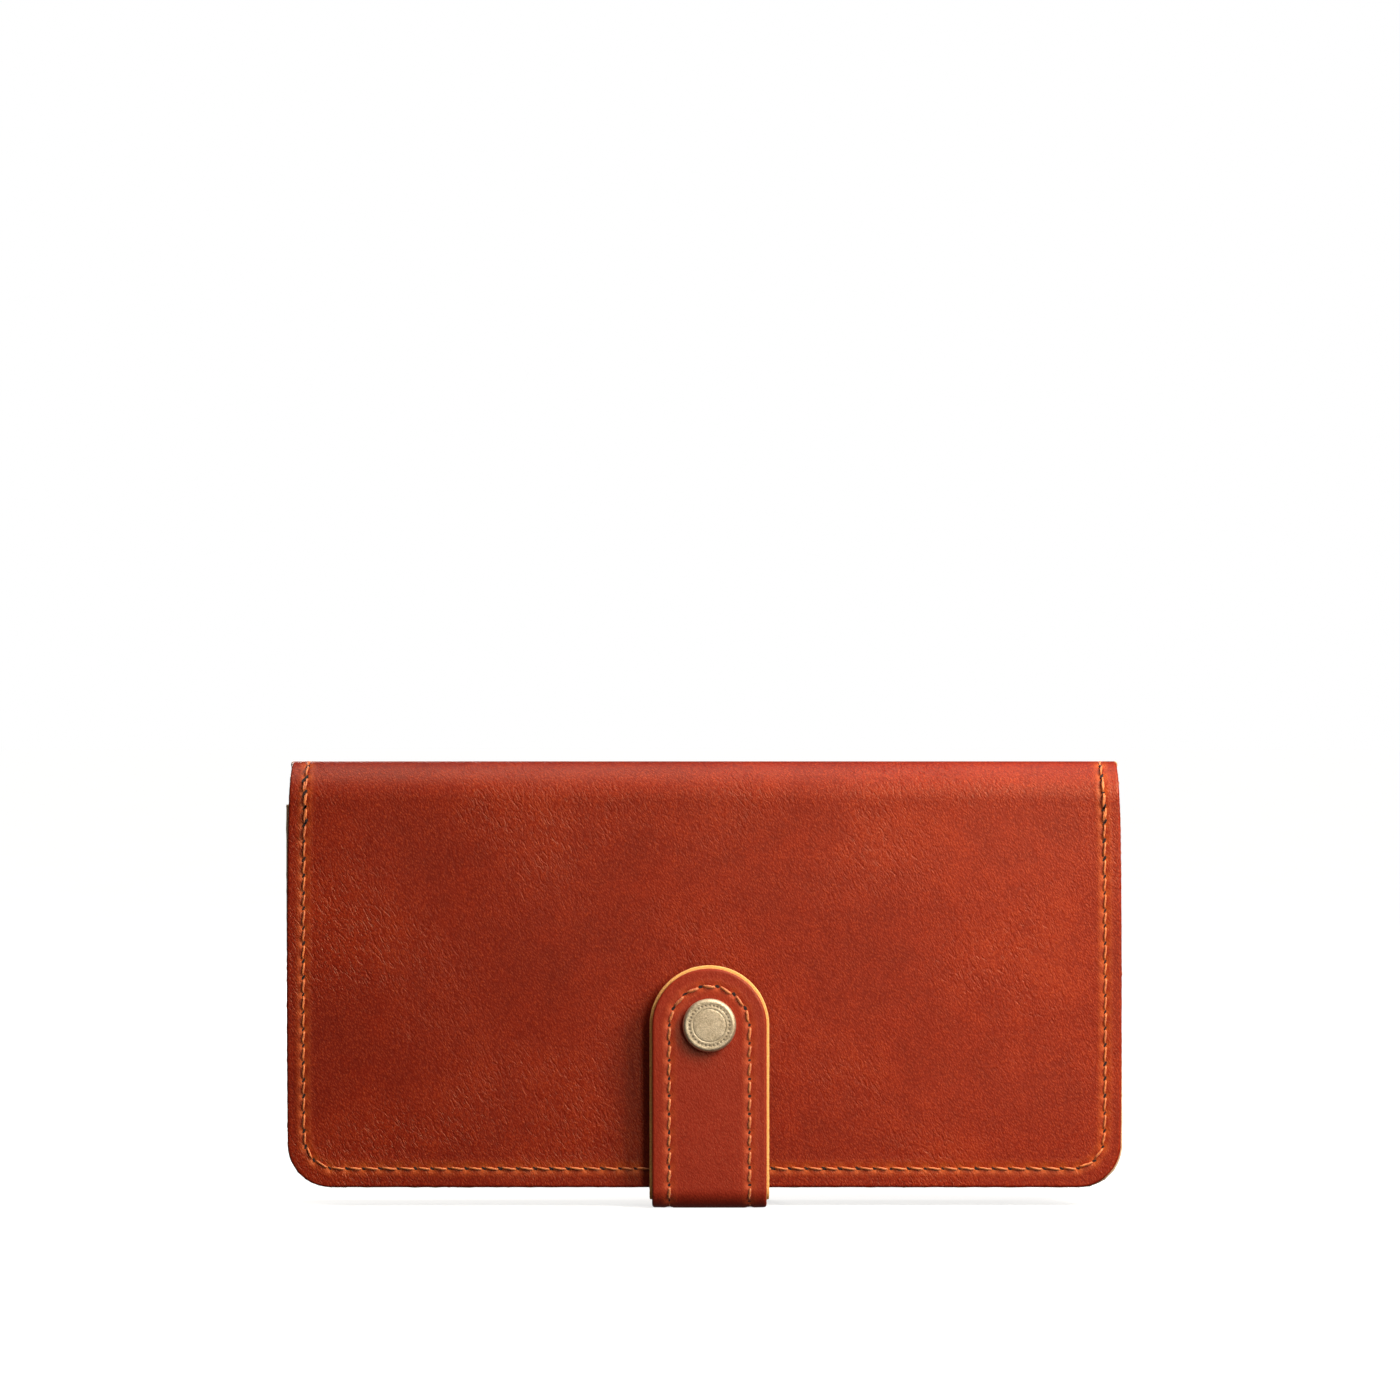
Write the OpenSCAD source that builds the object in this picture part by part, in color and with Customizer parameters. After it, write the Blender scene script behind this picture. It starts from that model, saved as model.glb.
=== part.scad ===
// Long wallet with a snap strap: two leaves joined by a rounded spine, a card leaf,
// a zipped coin leaf and a two-layer strap that wraps under the lower edge.
// It stands with the spine on top. X is the width, -Y is the front, Z is up,
// and Z = 0 is the surface under the bend of the strap.

/* [Wallet body] */
// Width across the leaves
wallet_w = 196; // [180:1:205]
// Height of the closed wallet, from the lower edges to the top of the spine
wallet_h = 100; // [94:1:106]
// Closed thickness between the two outer faces
wallet_t = 18; // [18:0.5:22]
// Thickness of the outer leather
cover_t = 1.8; // [1.6:0.1:2]
// Radius of the lower corners
corner_r = 10; // [6:1:14]

/* [Inside layers] */
// Thickness of the lining behind each cover
lining_t = 0.8; // [0.7:0.1:0.9]
// Note compartment between a cover and its lining
note_gap = 0.6; // [0.5:0.1:0.6]
// Thickness of one card tier
tier_t = 0.8; // [0.7:0.1:0.9]
// Number of card tiers
tier_count = 4; // [3:1:4]
// Step from the top edge of one tier to the next
tier_step = 10.5; // [9:0.5:11]
// Inner depth of the coin pocket
coin_gap = 1.9; // [1.9:0.1:2.1]

/* [Zip] */
// Travel of the zip slider
zip_travel = 140; // [120:5:144]
// Height of the zip below the start of the spine curve
zip_drop = 13.5; // [12:0.5:20]

/* [Strap] */
// Width of the strap
strap_w = 28; // [24:1:32]
// Height of the rounded end of the strap
strap_top = 56.8; // [55:0.1:58]
// Thickness of one strap layer
strap_layer_t = 1.8; // [1.6:0.1:1.8]
// Offset of the strap from the middle of the wallet
strap_x = 1.2; // [0:0.1:2]
// Height of the snap fastener
snap_z = 43; // [40:0.5:43]
// Diameter of the snap cap
snap_cap_d = 12.5; // [12:0.1:13]

/* [Seams] */
// Distance from the side edges to the seam
seam_side = 3.9; // [3:0.1:5]
// Distance from the lower edge to the seam
seam_low = 4.4; // [3:0.1:6]
// Width of the thread
thread_w = 0.6; // [0.5:0.1:0.8]

/* [Hidden] */

$fn = 96;
half_t = wallet_t / 2;                    // the outer faces lie at Y = -half_t and +half_t
body_z = 2 * strap_layer_t + 0.9;         // the lower edges stand on air, 0.9 above the strap
spine_z = body_z + wallet_h - half_t;     // the spine's curve starts here
cover_top = spine_z - 0.5;                // running gap under the ends of the spine
inner_top = spine_z - 1.2;                // the lining clears the turning spine
inset = 0.7;                              // inner layers stop short of the cover's edge
inner_w = wallet_w - 2 * inset;
cut = 1;                                  // how far a cutting shape runs past what it cuts

// Layers of the back leaf, from the outside in
back_lining_y = half_t - cover_t - note_gap - lining_t;
card_gap = 0.15;
first_tier_drop = 4.8;                    // from the lining's top edge to that of the first tier
tier_depth = 52;                          // how deep a card sits

// Layers of the front leaf, from the outside in
front_lining_y = -half_t + cover_t + note_gap;
tape_t = 0.4;
tape_y = front_lining_y + lining_t + coin_gap;
panel_y = tape_y + tape_t;
panel_t = 0.8;

// Zip
zip_z = spine_z - zip_drop;
window_w = 160;                           // window in the coin pocket panel
window_h = 10;
teeth_half = 76;
teeth_pitch = 2.5;
teeth_slit = 0.9;                         // the slider's neck runs in this slit
teeth_h = 1.55;
teeth_t = 1.3;
teeth_proud = 0.4;                        // the teeth stand this far off the front of their tape
teeth_y = tape_y - teeth_proud;
tape_h = 8;
tape_inset = 6;                           // from the side of the wallet to the end of a tape
stop_gap = 0.2;                           // from the last tooth to a stop
slider_len = 11;
slider_h = 6.8;
slider_t = 0.8;
slider_gap = 0.35;
slider_x = -zip_travel / 2;

// Strap
strap_t = 2 * strap_layer_t;
snap_gap = 2.8;                           // space between the cover and the strap, for the snap
leg_y = -half_t - snap_gap - strap_t;     // outer face of the strap in front
hinge_y = leg_y + strap_layer_t;          // the strap folds about this line
hinge_z = strap_layer_t;
fold_gap = 0.3;
tab_z = 2 * strap_layer_t + fold_gap;     // lower end of the folding tab
tail_top = 46;
layer_step = 0.6;                         // the outer layer is this much narrower on each side
bend_r = body_z - strap_t;                // inner radius of the bend at the back
bend_y = half_t - bend_r;

// Snap
stud_r = 2.2;
post_r = 1.6;
eyelet_post_r = 1.5;
hole_play = 0.05;
flange_t = 0.3;
washer_t = 0.4;
socket_r = 5;
socket_bore_r = 2.7;
socket_floor = 0.5;
socket_face = -half_t - flange_t - 0.3;   // the socket's mouth
spring_y = socket_face - 0.7;             // middle of the spring's groove
strap_face = -half_t - snap_gap;          // the strap's inner face

// Seams
thread_t = 0.3;
thread_gap = 0.02;
seam_x = wallet_w / 2 - seam_side;
seam_r = corner_r - 3;
strap_seam = 4.1;                         // distance from the strap's edge to its seam
seam_end = 1;                             // from a top edge to the end of a seam
divider_low = 12;                         // from the lower edge to the divider's seam
zip_seam = 2;                             // from the window to the seams beside it
tail_box_low = 6;                         // from the lower edge to the box of stitches at the back

leather = [0.63, 0.26, 0.17];
leather_dark = [0.36, 0.16, 0.10];
leather_inner = [0.60, 0.37, 0.20];
thread_tan = [0.86, 0.60, 0.38];
brass = [0.72, 0.60, 0.43];
cloth = [0.20, 0.12, 0.08];

// A sheet that lies in the XZ plane, from y_low to y_low + t
module sheet(y_low, t) {
    translate([0, y_low + t, 0])
        rotate([90, 0, 0])
            linear_extrude(t)
                children();
}

// A leaf's outline: square at the top and rounded at its lower corners
module leaf_outline(w, z_low, z_high, r) {
    translate([-w / 2, z_low + r])
        square([w, z_high - z_low - r]);
    translate([-w / 2 + r, z_low])
        square([w - 2 * r, z_high - z_low]);
    for (side = [-1, 1])
        translate([side * (w / 2 - r), z_low + r])
            circle(r);
}

// The outline of a seam that runs down one side, along the bottom and up the other side
module seam_outline(z_high) {
    low = body_z + seam_low;
    difference() {
        leaf_outline(2 * seam_x + thread_w, low - thread_w / 2, z_high, seam_r + thread_w / 2);
        leaf_outline(2 * seam_x - thread_w, low + thread_w / 2, z_high + 1, seam_r - thread_w / 2);
    }
}

// The outline of an upright strap with a round upper end
module strap_outline(w, z_low, z_high) {
    translate([strap_x - w / 2, z_low])
        square([w, z_high - w / 2 - z_low]);
    translate([strap_x, z_high - w / 2])
        circle(w / 2);
}

// A disc, ring or hole on the snap's axis, from y_low to y_high
module snap_disc(r, y_low, y_high) {
    translate([strap_x, y_high, snap_z])
        rotate([90, 0, 0])
            cylinder(r = r, h = y_high - y_low);
}

// A straight seam along X or Z, on the inner face at y_low
module thread_run(x, z, w, h, y_low) {
    translate([x - w / 2, y_low, z - h / 2])
        cube([w, thread_t, h]);
}

module back_cover() {
    color(leather)
        sheet(half_t - cover_t, cover_t)
            leaf_outline(wallet_w, body_z, cover_top, corner_r);
}

module back_lining() {
    color(leather_inner)
        sheet(back_lining_y, lining_t)
            leaf_outline(inner_w, body_z + inset, inner_top, corner_r);
}

// Tier 1 lies next to the lining and stands highest
function tier_y(n) = back_lining_y - n * (tier_t + card_gap);
function tier_top(n) = inner_top - first_tier_drop - (n - 1) * tier_step;

module card_tier(n) {
    last = n == tier_count;
    low = last ? body_z + inset : tier_top(n) - tier_depth;
    color(leather_inner)
        sheet(tier_y(n), tier_t)
            if (last)
                leaf_outline(inner_w, low, tier_top(n), corner_r);
            else
                translate([-inner_w / 2, low])
                    square([inner_w, tier_depth]);
}

// The stitched line that parts the two columns of cards, on the front tier
module card_divider_thread() {
    front = tier_y(tier_count) - thread_gap - thread_t;
    low = body_z + divider_low;
    high = tier_top(tier_count) - seam_end;
    color(thread_tan)
        thread_run(0, (low + high) / 2, thread_w, high - low, front);
}

// Outside the cover, apart from the stretch under the strap, and inside on the front card tier
module back_seam_thread() {
    clear = 1;
    color(thread_tan) {
        sheet(half_t + thread_gap, thread_t)
            difference() {
                seam_outline(cover_top);
                translate([strap_x - strap_w / 2 - clear, 0])
                    square([strap_w + 2 * clear, body_z + seam_low + thread_w + cut]);
            }
        sheet(tier_y(tier_count) - thread_gap - thread_t, thread_t)
            seam_outline(tier_top(tier_count) - seam_end);
    }
}

// One layer of the strap's tail: up the back, round the bend, under the wallet and into a
// round nose that the folding tab turns about. inner is the layer's inner distance from
// the wallet, and w its width.
module strap_tail(inner, w) {
    outer = inner + strap_layer_t;
    nose_low = inner > 0 ? 0 : hinge_z;
    translate([strap_x - w / 2, 0, 0]) {
        translate([0, half_t + inner, body_z])
            cube([w, strap_layer_t, tail_top - body_z]);
        translate([0, bend_y, body_z])
            rotate([0, 90, 0])
                rotate_extrude(angle = 90)
                    translate([bend_r + inner, 0])
                        square([strap_layer_t, w]);
        translate([0, hinge_y, strap_t - outer])
            cube([w, bend_y - hinge_y, strap_layer_t]);
        intersection() {
            translate([0, hinge_y, hinge_z])
                rotate([0, 90, 0])
                    cylinder(r = strap_layer_t, h = w);
            translate([0, hinge_y - strap_layer_t, nose_low])
                cube([w, strap_layer_t, strap_layer_t]);
        }
    }
}

module strap_tail_lining() {
    color(leather_dark)
        strap_tail(0, strap_w);
}

module strap_tail_outer() {
    color(leather)
        strap_tail(strap_layer_t, strap_w - 2 * layer_step);
}

// A stitched box holds the tail to the back cover
module strap_tail_thread() {
    box_w = strap_w - 2 * strap_seam;
    low = body_z + tail_box_low;
    high = tail_top - strap_seam;
    color(thread_tan)
        sheet(half_t + strap_t + thread_gap, thread_t)
            difference() {
                translate([strap_x - box_w / 2 - thread_w / 2, low - thread_w / 2])
                    square([box_w + thread_w, high - low + thread_w]);
                translate([strap_x - box_w / 2 + thread_w / 2, low + thread_w / 2])
                    square([box_w - thread_w, high - low - thread_w]);
            }
}

// A half tube along X about the spine's centre line
module half_tube(r_out, t, x_low, length) {
    translate([x_low, 0, spine_z])
        rotate([90, 0, 90])
            rotate_extrude(angle = 180)
                translate([r_out - t, 0])
                    square([t, length]);
}

module spine_cover() {
    color(leather)
        half_tube(half_t, cover_t, -wallet_w / 2, wallet_w);
}

module spine_lining() {
    glue = 0.1;
    color(leather_inner)
        half_tube(half_t - cover_t - glue, lining_t, -inner_w / 2, inner_w);
}

// The end seams that carry on over the spine
module spine_threads() {
    color(thread_tan)
        for (side = [-1, 1])
            half_tube(half_t + thread_gap + thread_t, thread_t, side * seam_x - thread_w / 2, thread_w);
}

module front_cover() {
    color(leather)
        difference() {
            sheet(-half_t, cover_t)
                leaf_outline(wallet_w, body_z, cover_top, corner_r);
            snap_disc(eyelet_post_r + hole_play, -half_t - cut, -half_t + cover_t + cut);
        }
}

module front_lining() {
    color(leather_inner)
        sheet(front_lining_y, lining_t)
            leaf_outline(inner_w, body_z + inset, inner_top, corner_r);
}

// One sheet with a window for the zip
module coin_pocket_panel() {
    color(leather_inner)
        sheet(panel_y, panel_t)
            difference() {
                leaf_outline(inner_w, body_z + inset, inner_top, corner_r);
                translate([-window_w / 2, zip_z - window_h / 2])
                    square([window_w, window_h]);
            }
}

module zip_tape(side) {
    edge = zip_z + side * (teeth_slit / 2 + teeth_h);
    color(cloth)
        sheet(tape_y, tape_t)
            translate([-wallet_w / 2 + tape_inset, side > 0 ? edge : edge - tape_h])
                square([wallet_w - 2 * tape_inset, tape_h]);
}

// A row of teeth on the edge of its tape. The rows are half a pitch apart.
module zip_teeth(side) {
    tooth_w = 1.3;
    root_h = 0.6;
    first = -teeth_half + (side > 0 ? teeth_pitch / 2 : 0);
    color(brass)
        translate([0, 0, zip_z])
            mirror([0, 0, side > 0 ? 0 : 1])
                sheet(teeth_y, teeth_t) {
                    translate([-teeth_half, teeth_slit / 2 + teeth_h - root_h])
                        square([2 * teeth_half, root_h]);
                    for (x = [first : teeth_pitch : teeth_half - tooth_w])
                        translate([x, teeth_slit / 2])
                            square([tooth_w, teeth_h]);
                }
}

// Two small clips at the closed end, one on each row
module zip_top_stops() {
    stop_w = 1.8;
    stop_h = teeth_h - 0.05;
    middle = teeth_slit / 2 + teeth_h - stop_h / 2;
    color(brass)
        for (side = [-1, 1])
            translate([-teeth_half - stop_gap - stop_w, teeth_y, zip_z + side * middle - stop_h / 2])
                cube([stop_w, teeth_t, stop_h]);
}

// One clip across both rows at the open end
module zip_bottom_stop() {
    stop_w = 2.5;
    stop_h = teeth_slit + 2 * teeth_h;
    color(brass)
        translate([teeth_half + stop_gap, teeth_y, zip_z - stop_h / 2])
            cube([stop_w, teeth_t, stop_h]);
}

// The seams above and below the window, which hold the tapes behind the panel, and the one
// along the panel's top edge, which closes the pocket
module zip_seam_threads() {
    face = panel_y + panel_t + thread_gap;
    top_seam = 2;
    color(thread_tan) {
        for (side = [-1, 1])
            thread_run(0, zip_z + side * (window_h / 2 + zip_seam), window_w, thread_w, face);
        thread_run(0, inner_top - top_seam, window_w, thread_w, face);
    }
}

// Outside the cover, and inside on the coin pocket panel
module front_seam_thread() {
    color(thread_tan) {
        sheet(-half_t - thread_gap - thread_t, thread_t)
            seam_outline(cover_top);
        sheet(panel_y + panel_t + thread_gap, thread_t)
            seam_outline(inner_top - seam_end);
    }
}

// The male half of the snap, riveted through the front cover
module snap_stud() {
    flange_r = 4.4;
    neck_r = 1.7;
    neck_h = 0.6;
    head_h = 0.8;
    head_taper = 0.5;
    neck_top = -half_t - flange_t - neck_h;
    back = -half_t + cover_t + washer_t;
    color(brass)
        union() {
            snap_disc(flange_r, -half_t - flange_t, -half_t);
            snap_disc(neck_r, neck_top, -half_t);
            translate([strap_x, neck_top, snap_z])
                rotate([90, 0, 0])
                    cylinder(r1 = stud_r, r2 = stud_r - head_taper, h = head_h);
            snap_disc(eyelet_post_r, -half_t, back);
        }
}

// The washer behind the cover that the stud's post is spread over
module snap_eyelet() {
    washer_r = 4;
    inside = -half_t + cover_t;
    color(brass)
        difference() {
            snap_disc(washer_r, inside, inside + washer_t);
            snap_disc(eyelet_post_r + hole_play, inside - cut, inside + washer_t + cut);
        }
}

module tab_layer(y_low, w, top) {
    difference() {
        sheet(y_low, strap_layer_t)
            strap_outline(w, tab_z, top);
        snap_disc(post_r + hole_play, y_low - cut, y_low + strap_layer_t + cut);
    }
}

module strap_tab_outer() {
    color(leather)
        tab_layer(leg_y, strap_w - 2 * layer_step, strap_top - layer_step);
}

module strap_tab_lining() {
    color(leather_dark)
        tab_layer(leg_y + strap_layer_t, strap_w, strap_top);
}

// The seam up one side of the tab, round its end and down the other side
module strap_tab_thread() {
    seam_w = strap_w - 2 * strap_seam;
    top = strap_top - strap_seam;
    low = tab_z + 4;
    color(thread_tan)
        sheet(leg_y - thread_gap - thread_t, thread_t)
            difference() {
                strap_outline(seam_w + thread_w, low, top + thread_w / 2);
                strap_outline(seam_w - thread_w, low - cut, top - thread_w / 2);
            }
}

// A shallow dome with a rolled rim, and the post that is spread inside the socket
module snap_cap() {
    cap_r = snap_cap_d / 2;
    rim_r = 1.1;
    rim_lift = 0.1;
    face_low = 0.2;
    face_h = 1.7;
    rivet_t = 0.3;
    post_root = 0.5;
    post_end = strap_face + socket_floor + rivet_t;
    color(brass)
        union() {
            translate([strap_x, leg_y, snap_z])
                rotate([90, 0, 0])
                    rotate_extrude() {
                        translate([0, face_low])
                            square([cap_r - rim_r, face_h]);
                        translate([cap_r - rim_r, rim_r + rim_lift])
                            circle(rim_r, $fn = 48);
                    }
            snap_disc(post_r, leg_y - post_root, post_end);
            snap_disc(stud_r, strap_face + socket_floor, post_end);
        }
}

// The female half of the snap, on the strap's inner face
module snap_socket() {
    floor_y = strap_face + socket_floor;
    groove_r = 3.15;
    groove_w = 0.6;
    groove_y = spring_y - groove_w / 2;
    color(brass)
        difference() {
            snap_disc(socket_r, strap_face, socket_face);
            snap_disc(socket_bore_r, floor_y, socket_face + cut);
            snap_disc(groove_r, groove_y, groove_y + groove_w);
            snap_disc(post_r + hole_play, strap_face - cut, floor_y + cut);
        }
}

// An open ring of wire in the socket's groove
module snap_spring() {
    wire_r = 0.22;
    ring_r = 2.85;
    opening = 50;
    color(brass)
        translate([strap_x, spring_y, snap_z])
            rotate([90, 0, 0])
                rotate([0, 0, 90 + opening / 2])
                    rotate_extrude(angle = 360 - opening)
                        translate([ring_r, 0])
                            circle(wire_r, $fn = 24);
}

// Two plates over and under the teeth, joined by a neck that runs in the slit,
// and a bridge that holds the puller
module zip_slider() {
    top_y = teeth_y + teeth_t + slider_gap;
    low_y = teeth_y - slider_gap - slider_t;
    neck_w = 6;
    neck_h = 0.3;
    lip_h = 0.9;
    lip_t = 0.4;
    overlap = 0.1;
    bridge_w = 8;
    bridge_h = 2;
    bridge_rise = 1;
    bridge_t = 0.3;
    leg_w = 1;
    color(brass)
        translate([slider_x, 0, zip_z]) {
            for (y = [low_y, top_y])
                translate([-slider_len / 2, y, -slider_h / 2])
                    cube([slider_len, slider_t, slider_h]);
            translate([-neck_w / 2, low_y, -neck_h / 2])
                cube([neck_w, top_y - low_y + slider_t, neck_h]);
            for (side = [-1, 1])
                translate([-slider_len / 2, top_y - lip_t, side * (slider_h - lip_h) / 2 - lip_h / 2])
                    cube([slider_len, lip_t + overlap, lip_h]);
            for (x = [-bridge_w / 2, bridge_w / 2 - leg_w])
                translate([x, top_y, -bridge_h / 2])
                    cube([leg_w, slider_t + bridge_rise, bridge_h]);
            translate([-bridge_w / 2, top_y + slider_t + bridge_rise - bridge_t, -bridge_h / 2])
                cube([bridge_w, bridge_t, bridge_h]);
        }
}

// A long tab with an eye round the bridge's leg, lying flat towards the middle of the zip
module zip_puller() {
    lift = 0.12;
    puller_y = teeth_y + teeth_t + slider_gap + slider_t + lift;
    puller_t = 0.45;
    puller_r = 2.4;
    start = 1.5;
    end = 25.5;
    eye_x = 2.6;
    eye_w = 1.8;
    eye_h = 2.6;
    hole_x = 24.8;
    hole_r = 1.1;
    color(brass)
        translate([slider_x, 0, zip_z])
            sheet(puller_y, puller_t)
                difference() {
                    union() {
                        translate([start, -puller_r])
                            square([end - start, 2 * puller_r]);
                        translate([end, 0])
                            circle(puller_r, $fn = 48);
                    }
                    translate([eye_x, -eye_h / 2])
                        square([eye_w, eye_h]);
                    translate([hole_x, 0])
                        circle(hole_r, $fn = 48);
                }
}

back_cover();
back_lining();
card_tier(1);  // card_tier_1
card_tier(2);  // card_tier_2
card_tier(3);  // card_tier_3
card_tier(4);  // card_tier_4
card_divider_thread();
back_seam_thread();
strap_tail_outer();
strap_tail_lining();
strap_tail_thread();
spine_cover();
spine_lining();
spine_threads();
front_cover();
front_lining();
coin_pocket_panel();
zip_tape(-1);  // zip_tape_lower
zip_tape(1);  // zip_tape_upper
zip_teeth(-1);  // zip_teeth_lower
zip_teeth(1);  // zip_teeth_upper
zip_top_stops();
zip_bottom_stop();
zip_seam_threads();
front_seam_thread();
snap_stud();
snap_eyelet();
strap_tab_outer();
strap_tab_lining();
strap_tab_thread();
snap_cap();
snap_socket();
snap_spring();
zip_slider();
zip_puller();
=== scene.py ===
import math

import bmesh
import bpy
import numpy as np
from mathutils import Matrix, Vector


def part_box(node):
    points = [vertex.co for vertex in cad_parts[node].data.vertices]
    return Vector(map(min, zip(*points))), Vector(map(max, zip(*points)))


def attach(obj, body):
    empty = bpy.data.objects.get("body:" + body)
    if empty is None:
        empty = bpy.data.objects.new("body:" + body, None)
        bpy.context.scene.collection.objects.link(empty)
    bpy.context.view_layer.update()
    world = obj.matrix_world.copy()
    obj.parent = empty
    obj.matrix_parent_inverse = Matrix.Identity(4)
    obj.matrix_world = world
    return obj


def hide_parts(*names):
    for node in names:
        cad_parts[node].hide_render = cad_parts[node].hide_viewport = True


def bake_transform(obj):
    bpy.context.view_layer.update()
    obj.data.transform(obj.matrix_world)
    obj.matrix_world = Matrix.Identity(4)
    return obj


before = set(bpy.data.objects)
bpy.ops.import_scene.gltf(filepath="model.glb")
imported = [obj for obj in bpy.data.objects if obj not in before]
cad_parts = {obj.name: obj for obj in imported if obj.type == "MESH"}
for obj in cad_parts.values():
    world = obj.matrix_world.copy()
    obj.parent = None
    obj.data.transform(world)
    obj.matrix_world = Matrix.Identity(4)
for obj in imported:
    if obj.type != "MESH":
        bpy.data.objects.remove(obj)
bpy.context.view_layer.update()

MM = 0.001
rng = np.random.default_rng(11)

# ---- sizes, from the frame

front_low, front_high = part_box("front_cover")
spine_low, spine_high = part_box("spine_cover")
tab_low, tab_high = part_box("strap_tab_outer")
tab_lining_low, tab_lining_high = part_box("strap_tab_lining")
_, tail_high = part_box("strap_tail_outer")
cap_low, cap_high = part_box("snap_cap")

HALF_W = front_high.x
HALF_T = spine_high.y
COVER_T = front_high.y - front_low.y
BODY_Z = front_low.z
SPINE_Z = spine_low.z
CORNER_R = 10 * MM
STRAIGHT = SPINE_Z - BODY_Z  # flat height of a cover, up to the spine
APEX = STRAIGHT + HALF_T * math.pi / 2  # flat distance from the lower edge to the spine's top
LAP = 0.9 * MM  # the two halves of the hide lap under the spine's top

STRAP_X = (tab_low.x + tab_high.x) / 2
LAYER_T = tab_high.y - tab_low.y
LEG_Y = tab_low.y  # the strap's outer face in front
TAIL_Y = tail_high.y  # the strap's outer face at the back
SNAP_X = (cap_low.x + cap_high.x) / 2
SNAP_Z = (cap_low.z + cap_high.z) / 2
SNAP_R = (cap_high.x - cap_low.x) / 2

SEAM_SIDE = 3.9 * MM  # the hide's seam from its sides
SEAM_LOW = 4.4 * MM  # and from its lower edge
SEAM_R = 7 * MM
PITCH = 4.0 * MM  # between two needle holes
STRAP_SEAM = 4.0 * MM

# ---- materials


WHITE = (255, 255, 255)


def linear(colour):
    """A colour of 0 to 255 on the screen's scale, or one linear grey, as linear RGBA."""
    if not isinstance(colour, tuple):
        return (colour,) * 3 + (1.0,)
    parts = [c / 255 for c in colour]
    return tuple(c / 12.92 if c <= 0.04045 else ((c + 0.055) / 1.055) ** 2.4 for c in parts) + (1.0,)


class Surface:
    """A procedural material. Its textures are laid out in millimetres."""

    def __init__(self, name, roughness, metallic=0.0, sheen=0.0, gloss=0.5):
        self.material = bpy.data.materials.new(name)
        self.material.use_nodes = True
        self.tree = self.material.node_tree
        self.shader = self.tree.nodes["Principled BSDF"]
        for key, value in (("Roughness", roughness), ("Metallic", metallic), ("Sheen Weight", sheen),
                           ("Specular IOR Level", gloss)):
            self.shader.inputs[key].default_value = value
        self.normal = None

    def node(self, kind, **inputs):
        made = self.tree.nodes.new("ShaderNode" + kind)
        for key, value in inputs.items():
            self.put(value, made.inputs[key.replace("_", " ")])
        return made

    def put(self, value, socket):
        if isinstance(value, bpy.types.NodeSocket):
            self.tree.links.new(value, socket)
        else:
            socket.default_value = linear(value) if socket.type == "RGBA" else value

    def coords(self, source="flat", stretch=(1, 1, 1), turn=0.0):
        """Millimetres on the flat leather, or in the row frame, turned and then stretched."""
        if source == "flat":
            start = self.tree.nodes.new("ShaderNodeUVMap")
            start.uv_map = "flat"
            place = start.outputs["UV"]
        else:
            place = self.tree.nodes.new("ShaderNodeTexCoord").outputs["Object"]
        turned = self.node("Mapping", Vector=place, Rotation=(0, 0, turn))
        scale = tuple(1000 * s for s in stretch)
        return self.node("Mapping", Vector=turned.outputs[0], Scale=scale).outputs[0]

    def noise(self, place, scale, detail=2.0, roughness=0.5, distortion=0.0):
        return self.node(
            "TexNoise", Vector=place, Scale=scale, Detail=detail, Roughness=roughness, Distortion=distortion
        ).outputs["Fac"]

    def ramp(self, factor, stops):
        made = self.node("ValToRGB", Fac=factor)
        ramp = made.color_ramp
        while len(ramp.elements) < len(stops):
            ramp.elements.new(0.5)
        for element, (position, colour) in zip(ramp.elements, stops):
            element.position = position
            element.color = linear(colour)
        return made.outputs["Color"]

    def mix(self, factor, a, b, blend="MIX"):
        made = self.tree.nodes.new("ShaderNodeMix")
        made.data_type = "RGBA"
        made.blend_type = blend
        for value, socket in ((factor, 0), (a, 6), (b, 7)):
            self.put(value, made.inputs[socket])
        return made.outputs[2]

    def math(self, operation, a, b=0.0):
        made = self.tree.nodes.new("ShaderNodeMath")
        made.operation = operation
        self.put(a, made.inputs[0])
        self.put(b, made.inputs[1])
        return made.outputs[0]

    def attribute(self, name):
        made = self.tree.nodes.new("ShaderNodeAttribute")
        made.attribute_name = name
        return made.outputs["Fac"]

    def bump(self, height, distance_mm, strength=1.0):
        made = self.node("Bump", Height=height, Strength=strength, Distance=distance_mm * MM)
        if self.normal is not None:
            self.put(self.normal, made.inputs["Normal"])
        self.normal = made.outputs["Normal"]

    def finish(self, colour, roughness=None):
        self.put(colour, self.shader.inputs["Base Color"])
        if roughness is not None:
            self.put(roughness, self.shader.inputs["Roughness"])
        if self.normal is not None:
            self.put(self.normal, self.shader.inputs["Normal"])
        return self.material


LEATHER_GLOSS = 0.3
WAX_TINT = (1.0, 0.84, 0.50, 1.0)  # linear: the wax gives the leather a warm shine
PEBBLE_LEAN = math.radians(-27)  # pebbles and wrinkles lean to the left at their upper ends
LEFT_SHADE_SPAN = 200  # mm over which painted shade darkens the hide towards its left side


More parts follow.
